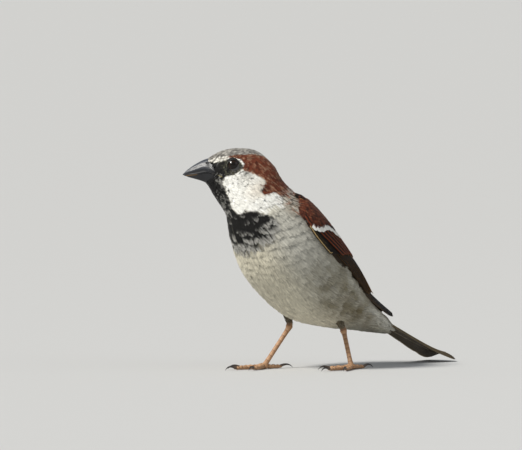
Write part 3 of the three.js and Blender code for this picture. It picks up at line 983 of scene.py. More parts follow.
# The back's feathers have a dark streak down the middle and buff sides.
back = ramp(rise_of(seen_angle), 28, 46) * ramp(seen_share, 0.50, 0.54)
back = back * (1 - ramp(seen_share, 0.68, 0.74))
dark = back * (coat.feather_roll < 0.72) * (np.abs(coat.fan + 0.1) < 0.36)
pale = back * (coat.feather_roll > 0.35) * (np.abs(coat.fan) > 0.66) * (coat.roll < 0.75)
main = blend(blend(main, rgb(30, 24, 20), dark), BUFF, pale * 0.8)
feather_tone = rng.normal(1, 0.05, len(root_share))[coat.owner]
main = main * np.clip(rng.normal(1, 0.13, coat.total) * feather_tone, 0.6, 1.35)[:, None]
fringed = rng.random(len(root_share))[coat.owner] < fringe * 1.25
tipped = fringed & (coat.roll < 0.45 + 0.5 * fringe)
tip = np.where(tipped[:, None], blend(main, rgb(214, 212, 204), 0.95), main)
# Each lock darkens towards its root: partly the real grey down at a feather's base, partly painted
# shade deep in the coat. Pale plumage is darkened less.
light = np.clip(main.mean(axis=1, keepdims=True) * 1.6, 0, 1)
frayed = blend(main, tip, 0.12 + 0.45 * ramp(fringe, 0.25, 0.6))
coat.colour(main * (0.40 + 0.46 * light), main * (0.83 + 0.14 * light), frayed, tip)

# %% [markdown]
# ## Feather finish
# Close up, a feather is barbs side by side, matt and slightly silky. One node group
# gives every plumage material that look from a base colour: a fine streaky grain, a
# little mottling, a roughness that varies and a height for the bump.

# %% The barb grain group
def new_group(name, inputs, outputs):
    """A node group, its entry and its exit. Sockets are given by name and value: a number,
    a colour, or None for a vector."""
    tree = bpy.data.node_groups.new(name, "ShaderNodeTree")
    for way, sockets in (("INPUT", inputs), ("OUTPUT", outputs)):
        for label, value in sockets.items():
            kind = {float: "Float", tuple: "Color", type(None): "Vector"}[type(value)]
            socket = tree.interface.new_socket(name=label, in_out=way, socket_type=f"NodeSocket{kind}")
            if way == "INPUT" and value is not None:
                socket.default_value = value
    return tree, tree.nodes.new("NodeGroupInput"), tree.nodes.new("NodeGroupOutput")


def node(tree, kind, **settings):
    """A node with its own settings and the plain values of its sockets."""
    made = tree.nodes.new(kind)
    for key, value in settings.items():
        if key in made.bl_rna.properties:
            setattr(made, key, value)
        else:
            made.inputs[key.replace("_", " ")].default_value = value
    return made


def feed(tree, pairs):
    """Give each socket its value: a plain one, or another socket's."""
    for socket, value in pairs:
        if isinstance(value, (int, float, tuple)):
            socket.default_value = value
        elif value is not None:
            tree.links.new(value, socket)


def maths(tree, operation, a, b=None, clamp=False):
    """One step of arithmetic on sockets or numbers."""
    made = node(tree, "ShaderNodeMath", operation=operation, use_clamp=clamp)
    feed(tree, zip(made.inputs, (a, b)))
    return made.outputs[0]


def mixed(tree, factor, a, b):
    """A mix of two colours by a factor."""
    made = node(tree, "ShaderNodeMix", data_type="RGBA")
    feed(tree, [(made.inputs[0], factor), (made.inputs[6], a), (made.inputs[7], b)])
    return made.outputs[2]


PLAIN_GREY = (0.5, 0.5, 0.5, 1.0)


def grain_group(name, scale, contrast, rough, fine_noise, broad_scale, broad_share, uneven):
    """A group that shades a tint with a fine and a broad noise and varies its roughness.
    scale and rough are each the name and the first value of an input."""
    inputs = {"Tint": PLAIN_GREY, scale[0]: scale[1], "Contrast": contrast, rough[0]: rough[1]}
    outputs = {"Colour": PLAIN_GREY, "Roughness": 0.0, "Height": 0.0}
    tree, entry, leave = new_group(name, inputs, outputs)
    place = node(tree, "ShaderNodeTexCoord").outputs["Object"]
    fine = node(tree, "ShaderNodeTexNoise", **fine_noise)
    broad = node(tree, "ShaderNodeTexNoise", Scale=broad_scale, Detail=2.0)
    part = maths(tree, "MULTIPLY", broad.outputs["Fac"], broad_share)
    both = maths(tree, "ADD", fine.outputs["Fac"], part)
    centred = maths(tree, "SUBTRACT", both, (1 + broad_share) / 2)
    gain = maths(tree, "MULTIPLY", centred, entry.outputs["Contrast"])
    scaled = node(tree, "ShaderNodeVectorMath", operation="SCALE")
    wander = maths(tree, "MULTIPLY", centred, uneven)
    feed(tree, [
        (fine.inputs["Vector"], place),
        (fine.inputs["Scale"], entry.outputs[scale[0]]),
        (broad.inputs["Vector"], place),
        (scaled.inputs[0], entry.outputs["Tint"]),
        (scaled.inputs["Scale"], maths(tree, "ADD", gain, 1.0)),
        (leave.inputs["Colour"], scaled.outputs[0]),
        (leave.inputs["Roughness"], maths(tree, "ADD", entry.outputs[rough[0]], wander, clamp=True)),
        (leave.inputs["Height"], fine.outputs["Fac"]),
    ])
    print(name, "nodes:", len(tree.nodes))
    return tree


barb_grain = grain_group(
    "barb_grain", ("Fineness", 5000.0), 0.3, ("Matt", 0.75),
    dict(Detail=3.0, Roughness=0.6), broad_scale=420.0, broad_share=0.6, uneven=0.25,
)


# %% The material of down
def place_group(tree, group, **values):
    """A group placed in a material with its own values."""
    placed = node(tree, "ShaderNodeGroup", node_tree=group)
    feed(tree, [(placed.inputs[key], value) for key, value in values.items()])
    return placed


def place_grain(tree, shader, group, tint, **values):
    """A grain group between a tint and the shader's colour and roughness."""
    placed = place_group(tree, group, Tint=tint, **values)
    feed(tree, [
        (shader.inputs["Base Color"], placed.outputs["Colour"]),
        (shader.inputs["Roughness"], placed.outputs["Roughness"]),
    ])
    return placed


def piece_value(tree, key, output="Color"):
    """A value that a piece keeps for each of its points."""
    return node(tree, "ShaderNodeAttribute", attribute_name=key).outputs[output]


def feather_material(name, fineness, contrast, matt, sheen):
    """A plumage material that reads a piece's tint."""
    material, tree, shader = new_material(
        name, Sheen_Weight=sheen, Sheen_Roughness=0.4, Specular_IOR_Level=0.25,
    )
    place_grain(
        tree, shader, barb_grain, piece_value(tree, "tint"),
        Fineness=fineness, Contrast=contrast, Matt=matt,
    )
    return material


down = feather_material("down", 5200.0, 0.35, 0.82, 0.12)

# %% The coat's pieces
# where each piece ends, as a share of the way from bill to tail
PIECE_ENDS = {
    "face": 0.30, "head": 0.42, "neck": 0.50, "shoulders": 0.565, "breast": 0.635,
    "belly": 0.72, "flanks": 0.82, "rump": 1.01,
}
homes = root_share[coat.owner]
low = 0.0
for name, high in PIECE_ENDS.items():
    piece = coat.piece(f"coat_{name}", down, (homes >= low) & (homes < high))
    low = high

# %% [markdown]
# ## Vanes
# The large feathers of the wings and tail are vanes: two thin webs on a shaft. Each is a
# shallow closed blade with a raised shaft, a little hollow across, and nicks where the
# barbs have parted. Its surface keeps three distances as an attribute, to its outer
# edge, its inner edge and its tip, so that one material can draw every pale fringe.

# %% One vane
VANE_ACROSS = np.array([-1, -0.86, -0.6, -0.3, -0.07, 0, 0.07, 0.3, 0.6, 0.86, 1])


def vane(surface, root, tip, half, lift, outer=0.4, rows=22, tip_round=1.0, thick=0.14, camber=0.35,
         nicks=2, roll=0.22, bow=0.0):
    """One feather blade on a surface(along, across, lift). root and tip are along and across.
    outer is the share of the breadth on the outer web, lift is (root, tip) in mm, roll tips
    the blade sideways, and bow lifts the rear half."""
    t = np.linspace(0, 1, rows) ** 0.9
    along = root[0] + (tip[0] - root[0]) * t
    across = root[1] + (tip[1] - root[1]) * t
    bowed = bow * np.sin(math.pi * np.clip(t / 0.7 - 0.43, 0, 1))
    lifts = lift[0] + (lift[1] - lift[0]) * t + bowed
    line = surface(along, across, lifts)
    run = run_along(line)
    size = run[-1]
    to_tip = size - run
    reach = half * 1.5 * tip_round
    end = np.clip(to_tip / reach, 0, 1)
    shape = np.sqrt(1 - (1 - end) ** 2) * (0.72 + 0.28 * ramp(run / size, 0, 0.3))
    webs = np.stack([shape * half * 2 * outer, shape * half * 2 * (1 - outer)], axis=1)
    for _ in range(nicks):
        where, web = rng.uniform(0.35, 0.95), rng.integers(2)
        depth = rng.uniform(0.06, 0.16)
        webs[:, web] *= 1 - depth * hill((run / size, where, 0.03))
    webs *= 1 + rng.normal(0, 0.012, webs.shape)
    webs = np.maximum(webs, 0.02)
    probe = 0.02
    side = surface(along, across + probe, lifts) - surface(along, across - probe, lifts)
    stretch = np.linalg.norm(side, axis=1) / (2 * probe)
    x = np.where(VANE_ACROSS < 0, webs[:, :1], webs[:, 1:]) * VANE_ACROSS
    grid_along = np.repeat(along[:, None], len(VANE_ACROSS), axis=1)
    # Barbs sweep forward, so each row of the blade is bent towards the tip.
    sweep = np.abs(x) * 0.35 * np.clip(to_tip / reach, 0, 1)[:, None]
    per_mm = np.gradient(along) / np.maximum(np.gradient(run), 1e-6)
    grid_along = grid_along + sweep * per_mm[:, None] * 0.6
    grid_across = across[:, None] + x / stretch[:, None]
    hollow = camber * (x / max(half, 0.1)) ** 2 * 0.35 + roll * x / max(half, 0.1)
    shaft = 0.10 * (np.abs(VANE_ACROSS) < 0.03) * np.clip(to_tip / size * 1.6, 0, 1)[:, None]
    top = surface(grid_along, grid_across, lifts[:, None] - hollow + shaft)
    bottom = surface(grid_along, grid_across, lifts[:, None] - hollow - thick + 0.3 * shaft)
    edges = np.stack([
        (1 + VANE_ACROSS) * webs[:, :1] + np.where(VANE_ACROSS > 0, x, 0),
        (1 - VANE_ACROSS) * webs[:, 1:] - np.where(VANE_ACROSS < 0, x, 0),
        np.repeat(to_tip[:, None], len(VANE_ACROSS), axis=1) - np.abs(x) * 0.3,
    ], axis=-1)
    return top, bottom, edges


def vane_faces(rows, columns):
    """Faces of a closed blade made of a top grid and a bottom grid."""
    top = np.arange(rows * columns).reshape(rows, columns)
    low = top + rows * columns
    corners = [
        (top[:-1, :-1], top[:-1, 1:], top[1:, 1:], top[1:, :-1]),
        (low[:-1, :-1], low[1:, :-1], low[1:, 1:], low[:-1, 1:]),
        (top[:-1, 0], top[1:, 0], low[1:, 0], low[:-1, 0]),
        (top[1:, -1], top[:-1, -1], low[:-1, -1], low[1:, -1]),
        (top[0, 1:], top[0, :-1], low[0, :-1], low[0, 1:]),
        (top[-1, :-1], top[-1, 1:], low[-1, 1:], low[-1, :-1]),
    ]
    return np.concatenate([np.stack(c, axis=-1).reshape(-1, 4) for c in corners])


VANE_VALUES = ("edge_gap", "core_tint", "edge_tint", "tip_tint", "fringe")
MAP_SIZE = np.array([0.42, 0.92])
MAP_MARGIN = np.array([0.03, 0.04])


class VanePile:
    """Vanes gathered into one mesh, with their colours and the distances to their edges."""

    def __init__(self, surface):
        self.surface, self.count = surface, 0
        self.verts, self.faces, self.values, self.maps = [], [], [], []

    def add(self, colours, fringe, **shape):
        """colours are (core, edge, tip) and fringe the widths of (outer, inner, tip) in mm."""
        top, bottom, edges = vane(self.surface, **shape)
        rows, columns = top.shape[:2]
        verts = np.concatenate([top.reshape(-1, 3), bottom.reshape(-1, 3)])
        self.faces.append(vane_faces(rows, columns) + self.count)
        self.verts.append(verts)
        self.count += len(verts)
        distances = np.tile(edges.reshape(-1, 3), (2, 1))
        tone = rng.normal(1, 0.06)
        plain = [np.tile(rgb(*c) * tone, (len(verts), 1)) for c in colours]
        widths = np.tile(np.asarray(fringe, float), (len(verts), 1))
        self.values.append(np.concatenate([distances, *plain, widths], axis=1))
        u, v = np.meshgrid(np.linspace(0, 1, columns), np.linspace(0, 1, rows))
        self.maps.append(np.stack([u, v], axis=-1))

    def build(self, name, material, flip=False):
        verts = np.concatenate(self.verts)
        faces = np.concatenate(self.faces)
        if flip:
            verts = mirrored(verts)
            faces = faces[:, ::-1]
        across_cells = math.ceil(math.sqrt(len(self.maps)))
        map_points = []
        for i, uv in enumerate(self.maps):
            corner = np.array([i % across_cells, i // across_cells])
            for half in (0, 0.5):
                inside = uv * MAP_SIZE + (MAP_MARGIN + (half, 0))
                map_points.append(((corner + inside) / across_cells).reshape(-1, 2))
        piece = mesh_piece(name, verts, [faces], material, patch=np.concatenate(map_points))
        values = np.concatenate(self.values)
        for k, key in enumerate(VANE_VALUES):
            layer = piece.data.attributes.new(key, "FLOAT_VECTOR", "POINT")
            store(layer.data, "vector", values[:, 3 * k:3 * k + 3])
        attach(piece, "root")
        print(name, "vanes:", len(self.maps), "triangles:", triangles(piece))
        return piece


# %% The vane pattern group and the vane material
def pattern_group(name):
    """A group that colours a vane from its core, edge and tip colours, the gaps to its
    edges and the widths of its fringes, and gives the relief of its slanting barbs."""
    inputs = dict(Gaps=None, Core=None, Edge=None, Tip=None, Widths=None)
    tree, entry, leave = new_group(name, inputs, dict(Colour=PLAIN_GREY, Height=0.0))
    gaps = node(tree, "ShaderNodeSeparateXYZ")
    widths = node(tree, "ShaderNodeSeparateXYZ")
    fray = node(tree, "ShaderNodeTexNoise", Scale=1800.0, Detail=3.0)
    feed(tree, [
        (gaps.inputs[0], entry.outputs["Gaps"]),
        (widths.inputs[0], entry.outputs["Widths"]),
        (fray.inputs["Vector"], node(tree, "ShaderNodeTexCoord").outputs["Object"]),
    ])
    jitter = maths(tree, "SUBTRACT", fray.outputs["Fac"], 0.5)
    jitter = maths(tree, "MULTIPLY", jitter, 0.9)

    def fringe_mask(gap, width):
        """1 where a gap to an edge is less than a fringe's width, with a frayed border."""
        reach = maths(tree, "SUBTRACT", width, gap)
        fraying = maths(tree, "MULTIPLY", jitter, maths(tree, "MINIMUM", width, 0.6))
        return maths(tree, "MULTIPLY", maths(tree, "ADD", reach, fraying), 5.0, clamp=True)

    outer, inner, tip = map(fringe_mask, gaps.outputs, widths.outputs)
    either = maths(tree, "MAXIMUM", outer, inner)
    edged = mixed(tree, either, entry.outputs["Core"], entry.outputs["Edge"])
    slant = maths(tree, "ADD", gaps.outputs[2], maths(tree, "MULTIPLY", gaps.outputs[0], 1.2))
    feed(tree, [
        (leave.inputs["Colour"], mixed(tree, tip, edged, entry.outputs["Tip"])),
        (leave.inputs["Height"], maths(tree, "SINE", maths(tree, "MULTIPLY", slant, 26.0))),
    ])
    print(name, "nodes:", len(tree.nodes))
    return tree


vane_pattern = pattern_group("vane_pattern")


def add_bump(tree, shader, height, strength, distance):
    """A relief from a height, over a distance in mm."""
    bump = node(tree, "ShaderNodeBump", Strength=strength, Distance=distance * MM)
    feed(tree, [(bump.inputs["Height"], height), (shader.inputs["Normal"], bump.outputs["Normal"])])


def vane_material(name, matt):
    """A material for blades that reads their five values."""
    material, tree, shader = new_material(name, Specular_IOR_Level=0.14)
    keys = zip(("Gaps", "Core", "Edge", "Tip", "Widths"), VANE_VALUES)
    values = {label: piece_value(tree, key, "Vector") for label, key in keys}
    pattern = place_group(tree, vane_pattern, **values)
    place_grain(
        tree, shader, barb_grain, pattern.outputs["Colour"], Fineness=2600.0, Contrast=0.5, Matt=matt,
    )
    add_bump(tree, shader, pattern.outputs["Height"], 0.35, 0.05)
    return material


quill = vane_material("quill", 0.62)

# %% [markdown]
# ## Wings
# A folded wing is a pack of cards: the primaries lie lowest and reach furthest back, the
# secondaries cover them, the three tertials cover those, and rows of coverts lie over
# every root like roof tiles. The rows are laid on the same curved blade as the solids.

# %% The wing's own surface
# x, y, z, half breadth, arc radius, lean in degrees, half thickness
WING_BLADE = np.array([
    (12.2, -19.4, 68.2, 3.0, 14, 36, 0.7),
    (13.6, -14.2, 65.0, 6.5, 14, 42, 1.4),
    (14.6, -7.8, 59.4, 9.0, 15, 44, 1.7),
    (14.0, -0.2, 52.8, 10.0, 15, 46, 1.7),
    (12.4, 8.4, 45.0, 9.4, 15, 47, 1.5),
    (10.2, 16.4, 37.4, 7.6, 14, 48, 1.3),
    (7.6, 25.0, 30.2, 4.4, 14, 48, 1.0),
    (5.2, 33.4, 25.2, 2.8, 14, 46, 0.8),
    (3.6, 41.6, 20.6, 1.2, 14, 46, 0.5),
])
WING_MM = 75


def wing_directions(along):
    """Along the wing, outward from it and up across it."""
    behind = stations(WING_BLADE, np.clip(along + 0.01, 0, 1))[..., :3]
    before = stations(WING_BLADE, np.clip(along - 0.01, 0, 1))[..., :3]
    run = unit(behind - before)
    lean = np.radians(stations(WING_BLADE, along)[..., 5])[..., None]
    upright = unit(np.cross(np.array([1.0, 0, 0]), run))
    outward = np.concatenate([np.cos(lean), 0 * lean, 0 * lean], axis=-1) + upright * np.sin(lean)
    outward = unit(outward - run * (outward * run).sum(-1, keepdims=True))
    return run, outward, np.cross(outward, run)


def wing_point(along, across, lift):
    """A point of the left wing, lifted in mm off the middle of its blade."""
    along, across, lift = np.broadcast_arrays(along, across, lift)
    size = stations(WING_BLADE, along)
    run, outward, upward = wing_directions(along)
    arc = size[..., 4]
    bend = across * size[..., 3] / arc
    past = np.maximum(along - 1, 0)[..., None] * WING_MM
    out = outward * np.cos(bend)[..., None] + upward * np.sin(bend)[..., None]
    centre = size[..., :3] + upward * (np.sin(bend) * arc)[..., None]
    centre = centre - outward * ((1 - np.cos(bend)) * arc)[..., None]
    return centre + out * lift[..., None] + run * past + SHIFT


# %% Flight feathers of one wing
flight = VanePile(wing_point)
# primaries
for k in np.linspace(0, 1, 9):
    flight.add(
        ((26, 22, 18), (104, 82, 56), (44, 36, 28)), (0.14, 0.0, 0.15),
        root=(0.24 + 0.05 * k, -0.72 + 0.35 * k), tip=(1.02 - 0.25 * k ** 0.8, -0.45 + 0.55 * k),
        half=3.1 - 0.2 * k, lift=(0.1 + 0.35 * k, -0.35 + 0.3 * k), outer=0.40, rows=34, tip_round=1.5,
        thick=0.2, nicks=1,
    )
# secondaries
for k in np.linspace(0, 1, 6):
    flight.add(
        ((24, 18, 13), (164, 118, 62), (70, 54, 38)), (0.075, 0.0, 0.15),
        root=(0.30 + 0.04 * k, -0.50 + 0.45 * k), tip=(0.74 + 0.03 * k, -0.42 + 0.52 * k),
        half=3.4, lift=(0.6 + 0.4 * k, 0.15 + 0.4 * k), outer=0.36, rows=30, tip_round=1.1,
        bow=0.7 + 0.5 * k,
    )
# tertials: where along and across the wing each one ends, and half its breadth
TERTIALS = [(0.79, 0.24, 3.7), (0.71, 0.42, 3.9), (0.60, 0.60, 3.9)]
for k, (end, side, breadth) in enumerate(TERTIALS):
    flight.add(
        ((30, 23, 16), (146, 102, 60), (150, 114, 76)), (0.32, 0.5, 0.5),
        root=(0.32, 0.08 + 0.22 * k), tip=(end, side),
        half=breadth, lift=(0.95 + 0.12 * k, 0.5 + 0.2 * k), outer=0.40, rows=30, tip_round=1.2,
        bow=1.2 - 0.4 * k,
    )

# %% Coverts of one wing
coverts = VanePile(wing_point)
# primary coverts
for k in np.linspace(0, 1, 7):
    coverts.add(
        ((20, 16, 13), (74, 54, 36), (60, 46, 34)), (0.12, 0, 0.12),
        root=(0.16 + 0.02 * k, -1.00 + 0.20 * k), tip=(0.38 + 0.05 * k, -0.91 + 0.36 * k),
        half=1.6, lift=(1.0 + 0.12 * k, 1.0 + 0.12 * k), outer=0.42, rows=18, roll=0.1,
    )
# the alula, with its pale outer edge
for k in np.linspace(0, 1, 3):
    coverts.add(
        ((20, 16, 13), (206, 176, 122), (120, 100, 70)), (0.36 if k == 0 else 0.06, 0, 0.1),
        root=(0.18, -0.99 + 0.09 * k), tip=(0.372 - 0.05 * k, -0.91 + 0.12 * k),
        half=1.35, lift=(1.15 + 0.2 * k, 1.2 + 0.15 * k), outer=0.40, rows=18, roll=0.1,
    )
# greater coverts
for k in np.linspace(0, 1, 9):
    side = -0.42 + 1.28 * k
    coverts.add(
        ((24, 16, 11), (116, 56, 30), (140, 96, 56)), (0.62, 0.3, 0.4),
        root=(0.19 + 0.15 * k, side - 0.24 + 0.14 * k), tip=(0.435 + 0.125 * (side + 0.53), side),
        half=2.5, lift=(1.40 + 0.35 * k, 1.60 + 0.55 * k), outer=0.44, rows=20, tip_round=0.9, roll=0.3,
    )
# %% The white bar and the scapulars
def bar_front(across):
    """How far along the wing the white bar begins."""
    return between(
        across, (-0.95, 0.184), (-0.80, 0.202), (-0.45, 0.238), (0.05, 0.312), (0.43, 0.384),
        (1.22, 0.49),
    )


# median coverts, whose white tips are the bar
for k in np.linspace(0, 1, 12):
    side = -0.86 + 1.64 * k
    lobe = 0.010 * math.cos((side + 0.62) / 0.72 * 2 * math.pi) + rng.normal(0, 0.004)
    longer = 0.030 * float(ramp(side, -0.35, 0.15) * (1 - 0.6 * ramp(side, 0.4, 0.8)))
    tip = float(bar_front(side)) + 0.036 + lobe + longer
    coverts.add(
        ((26, 18, 14), (108, 54, 34), (240, 238, 231)), (0.8, 0.2, 3.1 + 60 * longer),
        root=(tip - 0.115, side - 0.05), tip=(tip, side), half=1.75 + 0.15 * min(1, 6 * k),
        lift=(1.6 + 0.2 * k, 1.80 + 0.5 * k), outer=0.46, rows=18, tip_round=0.8, nicks=3, roll=0.15,
    )
# scapulars, in five rows from front to back
for row, sunk in enumerate((1.5, 0.8, 0.2, 0, 0)):
    root_lift = 2.15 - 0.16 * row - sunk
    tip_lift = 2.2 - 0.16 * row - 0.5 * (row == 0)
    for k in np.linspace(0, 1, 5):
        side = 0.40 + 0.64 * k + 0.04 * (row % 2)
        tip = 0.13 + 0.056 * row + 0.03 * k + rng.normal(0, 0.006)
        edge = (150, 98, 60) if rng.random() < 0.6 else (176, 140, 98)
        coverts.add(
            ((30, 23, 17), edge, (166, 128, 90)),
            (rng.uniform(0.35, 0.75), rng.uniform(0.15, 0.55), 0.45),
            root=(max(tip - 0.13, 0.012), side - 0.02), tip=(tip, side + rng.normal(0, 0.02)),
            half=1.75, lift=(root_lift, tip_lift), outer=0.48, rows=16, roll=0.12,
        )
# %% Both wings
for name, side in SIDES.items():
    piece = flight.build(f"{name}_flight_feathers", quill, side < 0)
    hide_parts(f"{name}_wing_secondaries", f"{name}_wing_primaries")
    piece = coverts.build(f"{name}_covert_feathers", quill, side < 0)
    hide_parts(f"{name}_wing_coverts")

# %% [markdown]
# ## Tail
# Twelve feathers fan a little: the middle pair lies on top and the outer ones beneath,
# each with a thin pale edge.

# %% Tail feathers
TAIL_LINE = np.array([(22.0, 25.2), (38.0, 17.8), (54.0, 10.1), (65.0, 5.3), (74.0, 2.7)])
TAIL_ROOT_HALF = 4.8
TAIL_TIP_HALF = 9.4
TAIL_DROOP = 2.3
TAIL_MM = 55
TAIL_OUTER_WEB = 0.36


def tail_point(along, across, lift):
    """A point of the tail. across goes from -1 at the right edge to 1 at the left."""
    along, across, lift = np.broadcast_arrays(along, across, lift)
    inside = np.clip(along, 0, 1)
    yz = stations(TAIL_LINE, inside)
    behind, before = (stations(TAIL_LINE, np.clip(inside + d, 0, 1)) for d in (0.01, -0.01))
    near = behind - before
    run = unit(np.concatenate([np.zeros((*near.shape[:-1], 1)), near], axis=-1))
    up = np.cross(np.array([1.0, 0, 0]), run)
    half = TAIL_ROOT_HALF + (TAIL_TIP_HALF - TAIL_ROOT_HALF) * inside
    point = np.concatenate([(across * half)[..., None], yz], axis=-1)
    point = point + up * (lift - TAIL_DROOP * across**2 * inside**0.6)[..., None]
    return point + run * ((along - inside) * TAIL_MM)[..., None] + SHIFT


tail = VanePile(tail_point)
for rank in range(6):
    k = 1 - rank / 5
    for side in (1, -1):
        place = side * (0.10 + 0.62 * k)
        reach = 0.985 - 0.028 * (1 - k) ** 2 - 0.012 * k ** 4
        tail.add(
            ((74, 64, 50), (150, 134, 106), (120, 104, 80)), (0.45, 0.15, 0.3),
            root=(0.02, place * 0.35), tip=(reach, place), roll=0,
            half=3.5, lift=(-0.5 + 0.9 * (1 - k), -0.45 + 0.9 * (1 - k)),
            outer=1 - TAIL_OUTER_WEB if side > 0 else TAIL_OUTER_WEB,
            rows=26, tip_round=0.75, camber=0.2,
        )
tail_feathers = tail.build("tail_feathers", quill)
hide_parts("tail_left", "tail_middle", "tail_right")

# %% [markdown]
# ## Small coverts and trousers
# The bend of the wing is roofed with small soft coverts, and the upper legs wear short
# loose feathers like trousers. They are locks again, combed over the wing's own surface
# and over a cone round each leg.

# %% Lesser coverts
WING_COVER = 0.6


def wing_cover(share, angle):
    """The wing's front part. share is a share of its length and angle its across number."""
    along = share * WING_COVER
    lift = 0.5 + 1.55 * ramp(along, -0.02, 0.17) - 0.7 * np.abs(angle) ** 6
    return wing_point(along, angle, lift)


wing_shell = Shell(wing_cover, rows=240, columns=160, low=-1.12, high=1.12, closed=False)
print("front of the wing, mm2:", round(float(wing_shell.area.sum() * wing_shell.cell)))


def small_rise(share, angle, run, across, loose, stray):
    """How far above the wing each point of a small covert stands."""
    return -0.5 * (1 - run) ** 2 + 0.05 * loose + 0.12 * stray


SMALL_SPACING = 1.35
weight = np.full(wing_shell.share.shape, 1 / SMALL_SPACING**2)
front = (bar_front(wing_shell.angle) - 0.034) / WING_COVER
weight = weight * (wing_shell.share < front) * (wing_shell.angle > -1.08) * (wing_shell.angle < 0.62)
cover_share, cover_angle = wing_shell.spread(weight)
cover_share, cover_angle = scattered(wing_shell, cover_share, cover_angle, SMALL_SPACING, 0.22)
cover_share = np.clip(cover_share, 0.004, 0.9)
small = Locks(
    wing_shell, cover_share, cover_angle, rng.normal(0.05, 0.10, len(cover_share)),
    3.5, SMALL_SPACING, 15, 0.30, small_rise,
)
seen = rng.normal(1, 0.16, small.total)[:, None]
rust = blend(CHESTNUT_RED, CHESTNUT_DARK, np.clip(small.feather_roll * 1.2 - 0.2, 0, 1))
edge = np.abs(small.fan) > 0.7
rust = blend(rust, rgb(176, 118, 84), (edge & (small.roll > 0.55)) * 0.5)
rust = blend(rust, rgb(24, 16, 12), (small.roll < 0.12) * 0.7) * np.clip(seen, 0.6, 1.5)
# The small coverts darken towards the root: partly real grey down, partly painted shade between them.
# Their tips are a little paler.
small.colour(rust * 0.35, rust * 0.85, rust, rust * 1.15)
for name, side in SIDES.items():
    piece = small.piece(f"{name}_small_coverts", down, flip=side < 0)

# %% The legs' measures
LEGS = {
    "left": dict(knee=(9, 3, 28), ankle=(7.5, 11.6, 15.2), foot=(14.9, 9, 0), heading=8, side=1),
    "right": dict(
        knee=(-9, -6, 31), ankle=(-8, -2.8, 16.7), foot=(-10.2, -14.6, 0), heading=-8, side=-1,
    ),
}
for leg in LEGS.values():
    leg.update({joint: np.array(leg[joint], float) for joint in ("knee", "ankle", "foot")})
# length, spread in degrees, claw length, number of plates
TOES = {
    "inner": (10, -30, 4, 7),
    "middle": (14, 0, 4.6, 11),
    "outer": (10.5, 27, 4, 9),
    "hind": (8, 180, 5.6, 6),
}
UP = np.array([0, 0, 1.0])


def heading_way(leg, spread=0.0):
    """The level direction of a leg's foot, or of a toe spread from it by some degrees."""
    a = math.radians(leg["heading"] + leg["side"] * spread)
    return np.array([math.sin(a), -math.cos(a), 0])


# %% Trousers
KNEE_CONE = 3.7
ANKLE_CONE = 1.35


def trouser_surface(leg):
    """A cone of feather tips from a knee to its ankle."""
    knee, ankle = leg["knee"], leg["ankle"]
    ahead = unit(ankle - knee)
    side = unit(np.cross(ahead, heading_way(leg)))
    top = np.cross(side, ahead)

    def place(share, angle):
        radius = (KNEE_CONE + (ANKLE_CONE - KNEE_CONE) * share**0.55)[..., None]
        middle = knee + SHIFT + (ankle - knee) * share[..., None]
        return middle + radius * (np.cos(angle)[..., None] * top - np.sin(angle)[..., None] * side)

    return place


def trouser_rise(share, angle, run, across, loose, stray):
    """How far above its cone each point of a trouser feather stands."""
    return -0.9 * (1 - run) ** 2 + 0.16 * loose + 0.5 * stray - 0.5 * ramp(share, 0.6, 1.0)


for name, leg in LEGS.items():
    cone = Shell(trouser_surface(leg), rows=120, columns=120)
    weight = 1.0 * (cone.share > 0.08) * (cone.share < 0.80)
    share, angle = cone.spread(weight)
    share, angle = scattered(cone, share, angle, 1.0, 0.25)
    trousers = Locks(
        cone, np.clip(share, 0.05, 0.82), angle, rng.normal(0, 0.2, len(share)),
        rng.uniform(3.0, 4.6, len(share)), 1.0, 9, 0.24, trouser_rise,
    )
    down_leg = ramp(share[trousers.owner] + 0.1 * trousers.loose, 0.25, 0.6)
    grey = blend(rgb(118, 108, 88), rgb(70, 64, 52), trousers.roll)
    grey = blend(rgb(150, 144, 126), grey, down_leg)
    pale = np.where((trousers.roll > 0.66)[:, None], rgb(186, 180, 162), grey)
    # The trouser locks darken towards the root: partly real grey down, partly painted shade deep in the
    # feathers.
    trousers.colour(grey * 0.4, grey * 0.85, grey, pale)
    piece = trousers.piece(f"{name}_trousers", down)

# %% [markdown]
# ## Skin
# Under the feathers a bird is one closed skin, from the lids and the gape to the soles.
# Single solids pushed into each other would show a line at every joint, so the body, the
# arms, the legs and the toes are laid out as closed forms that booleans fuse into one
# mesh, with a socket cut out for each eye. The thin lids and the mouth's folds are laid
# into the same mesh as they are, since a union of such fine rings may not finish. All
# colours are found again afterwards from the nearest point of the forms.

# %% Closed forms
def closed_grid(points):
    """Verts and faces of a closed form from rings of points, each end closed to its middle."""
    rows, columns = points.shape[:2]
    index = np.arange(rows * columns).reshape(rows, columns)
    after = np.roll(index, -1, axis=1)
    quads = np.stack([index[1:], after[1:], after[:-1], index[:-1]], axis=-1).reshape(-1, 4)
    first = np.full(columns, rows * columns)
    start = np.stack([index[0], after[0], first], axis=-1)
    finish = np.stack([after[-1], index[-1], first + 1], axis=-1)
    middles = [points[0].mean(axis=0), points[-1].mean(axis=0)]
    verts = np.concatenate([points.reshape(-1, 3), middles])
    return verts, [quads, np.concatenate([start, finish])]


def closed_ring(points):
    """Verts and faces of a ring-shaped form: a section carried right round."""
    rows, columns = points.shape[:2]
    index = np.arange(rows * columns).reshape(rows, columns)
    after = np.roll(index, -1, axis=1)
    down, diagonal = np.roll(index, -1, axis=0), np.roll(after, -1, axis=0)
    quads = np.stack([down, diagonal, after, index], axis=-1).reshape(-1, 4)
    return points.reshape(-1, 3), [quads]


def capped(tint):
    """The colours of a closed form's points, with one more for the middle of each end."""
    return np.concatenate([tint.reshape(-1, 3), tint[0, :1], tint[-1, :1]])


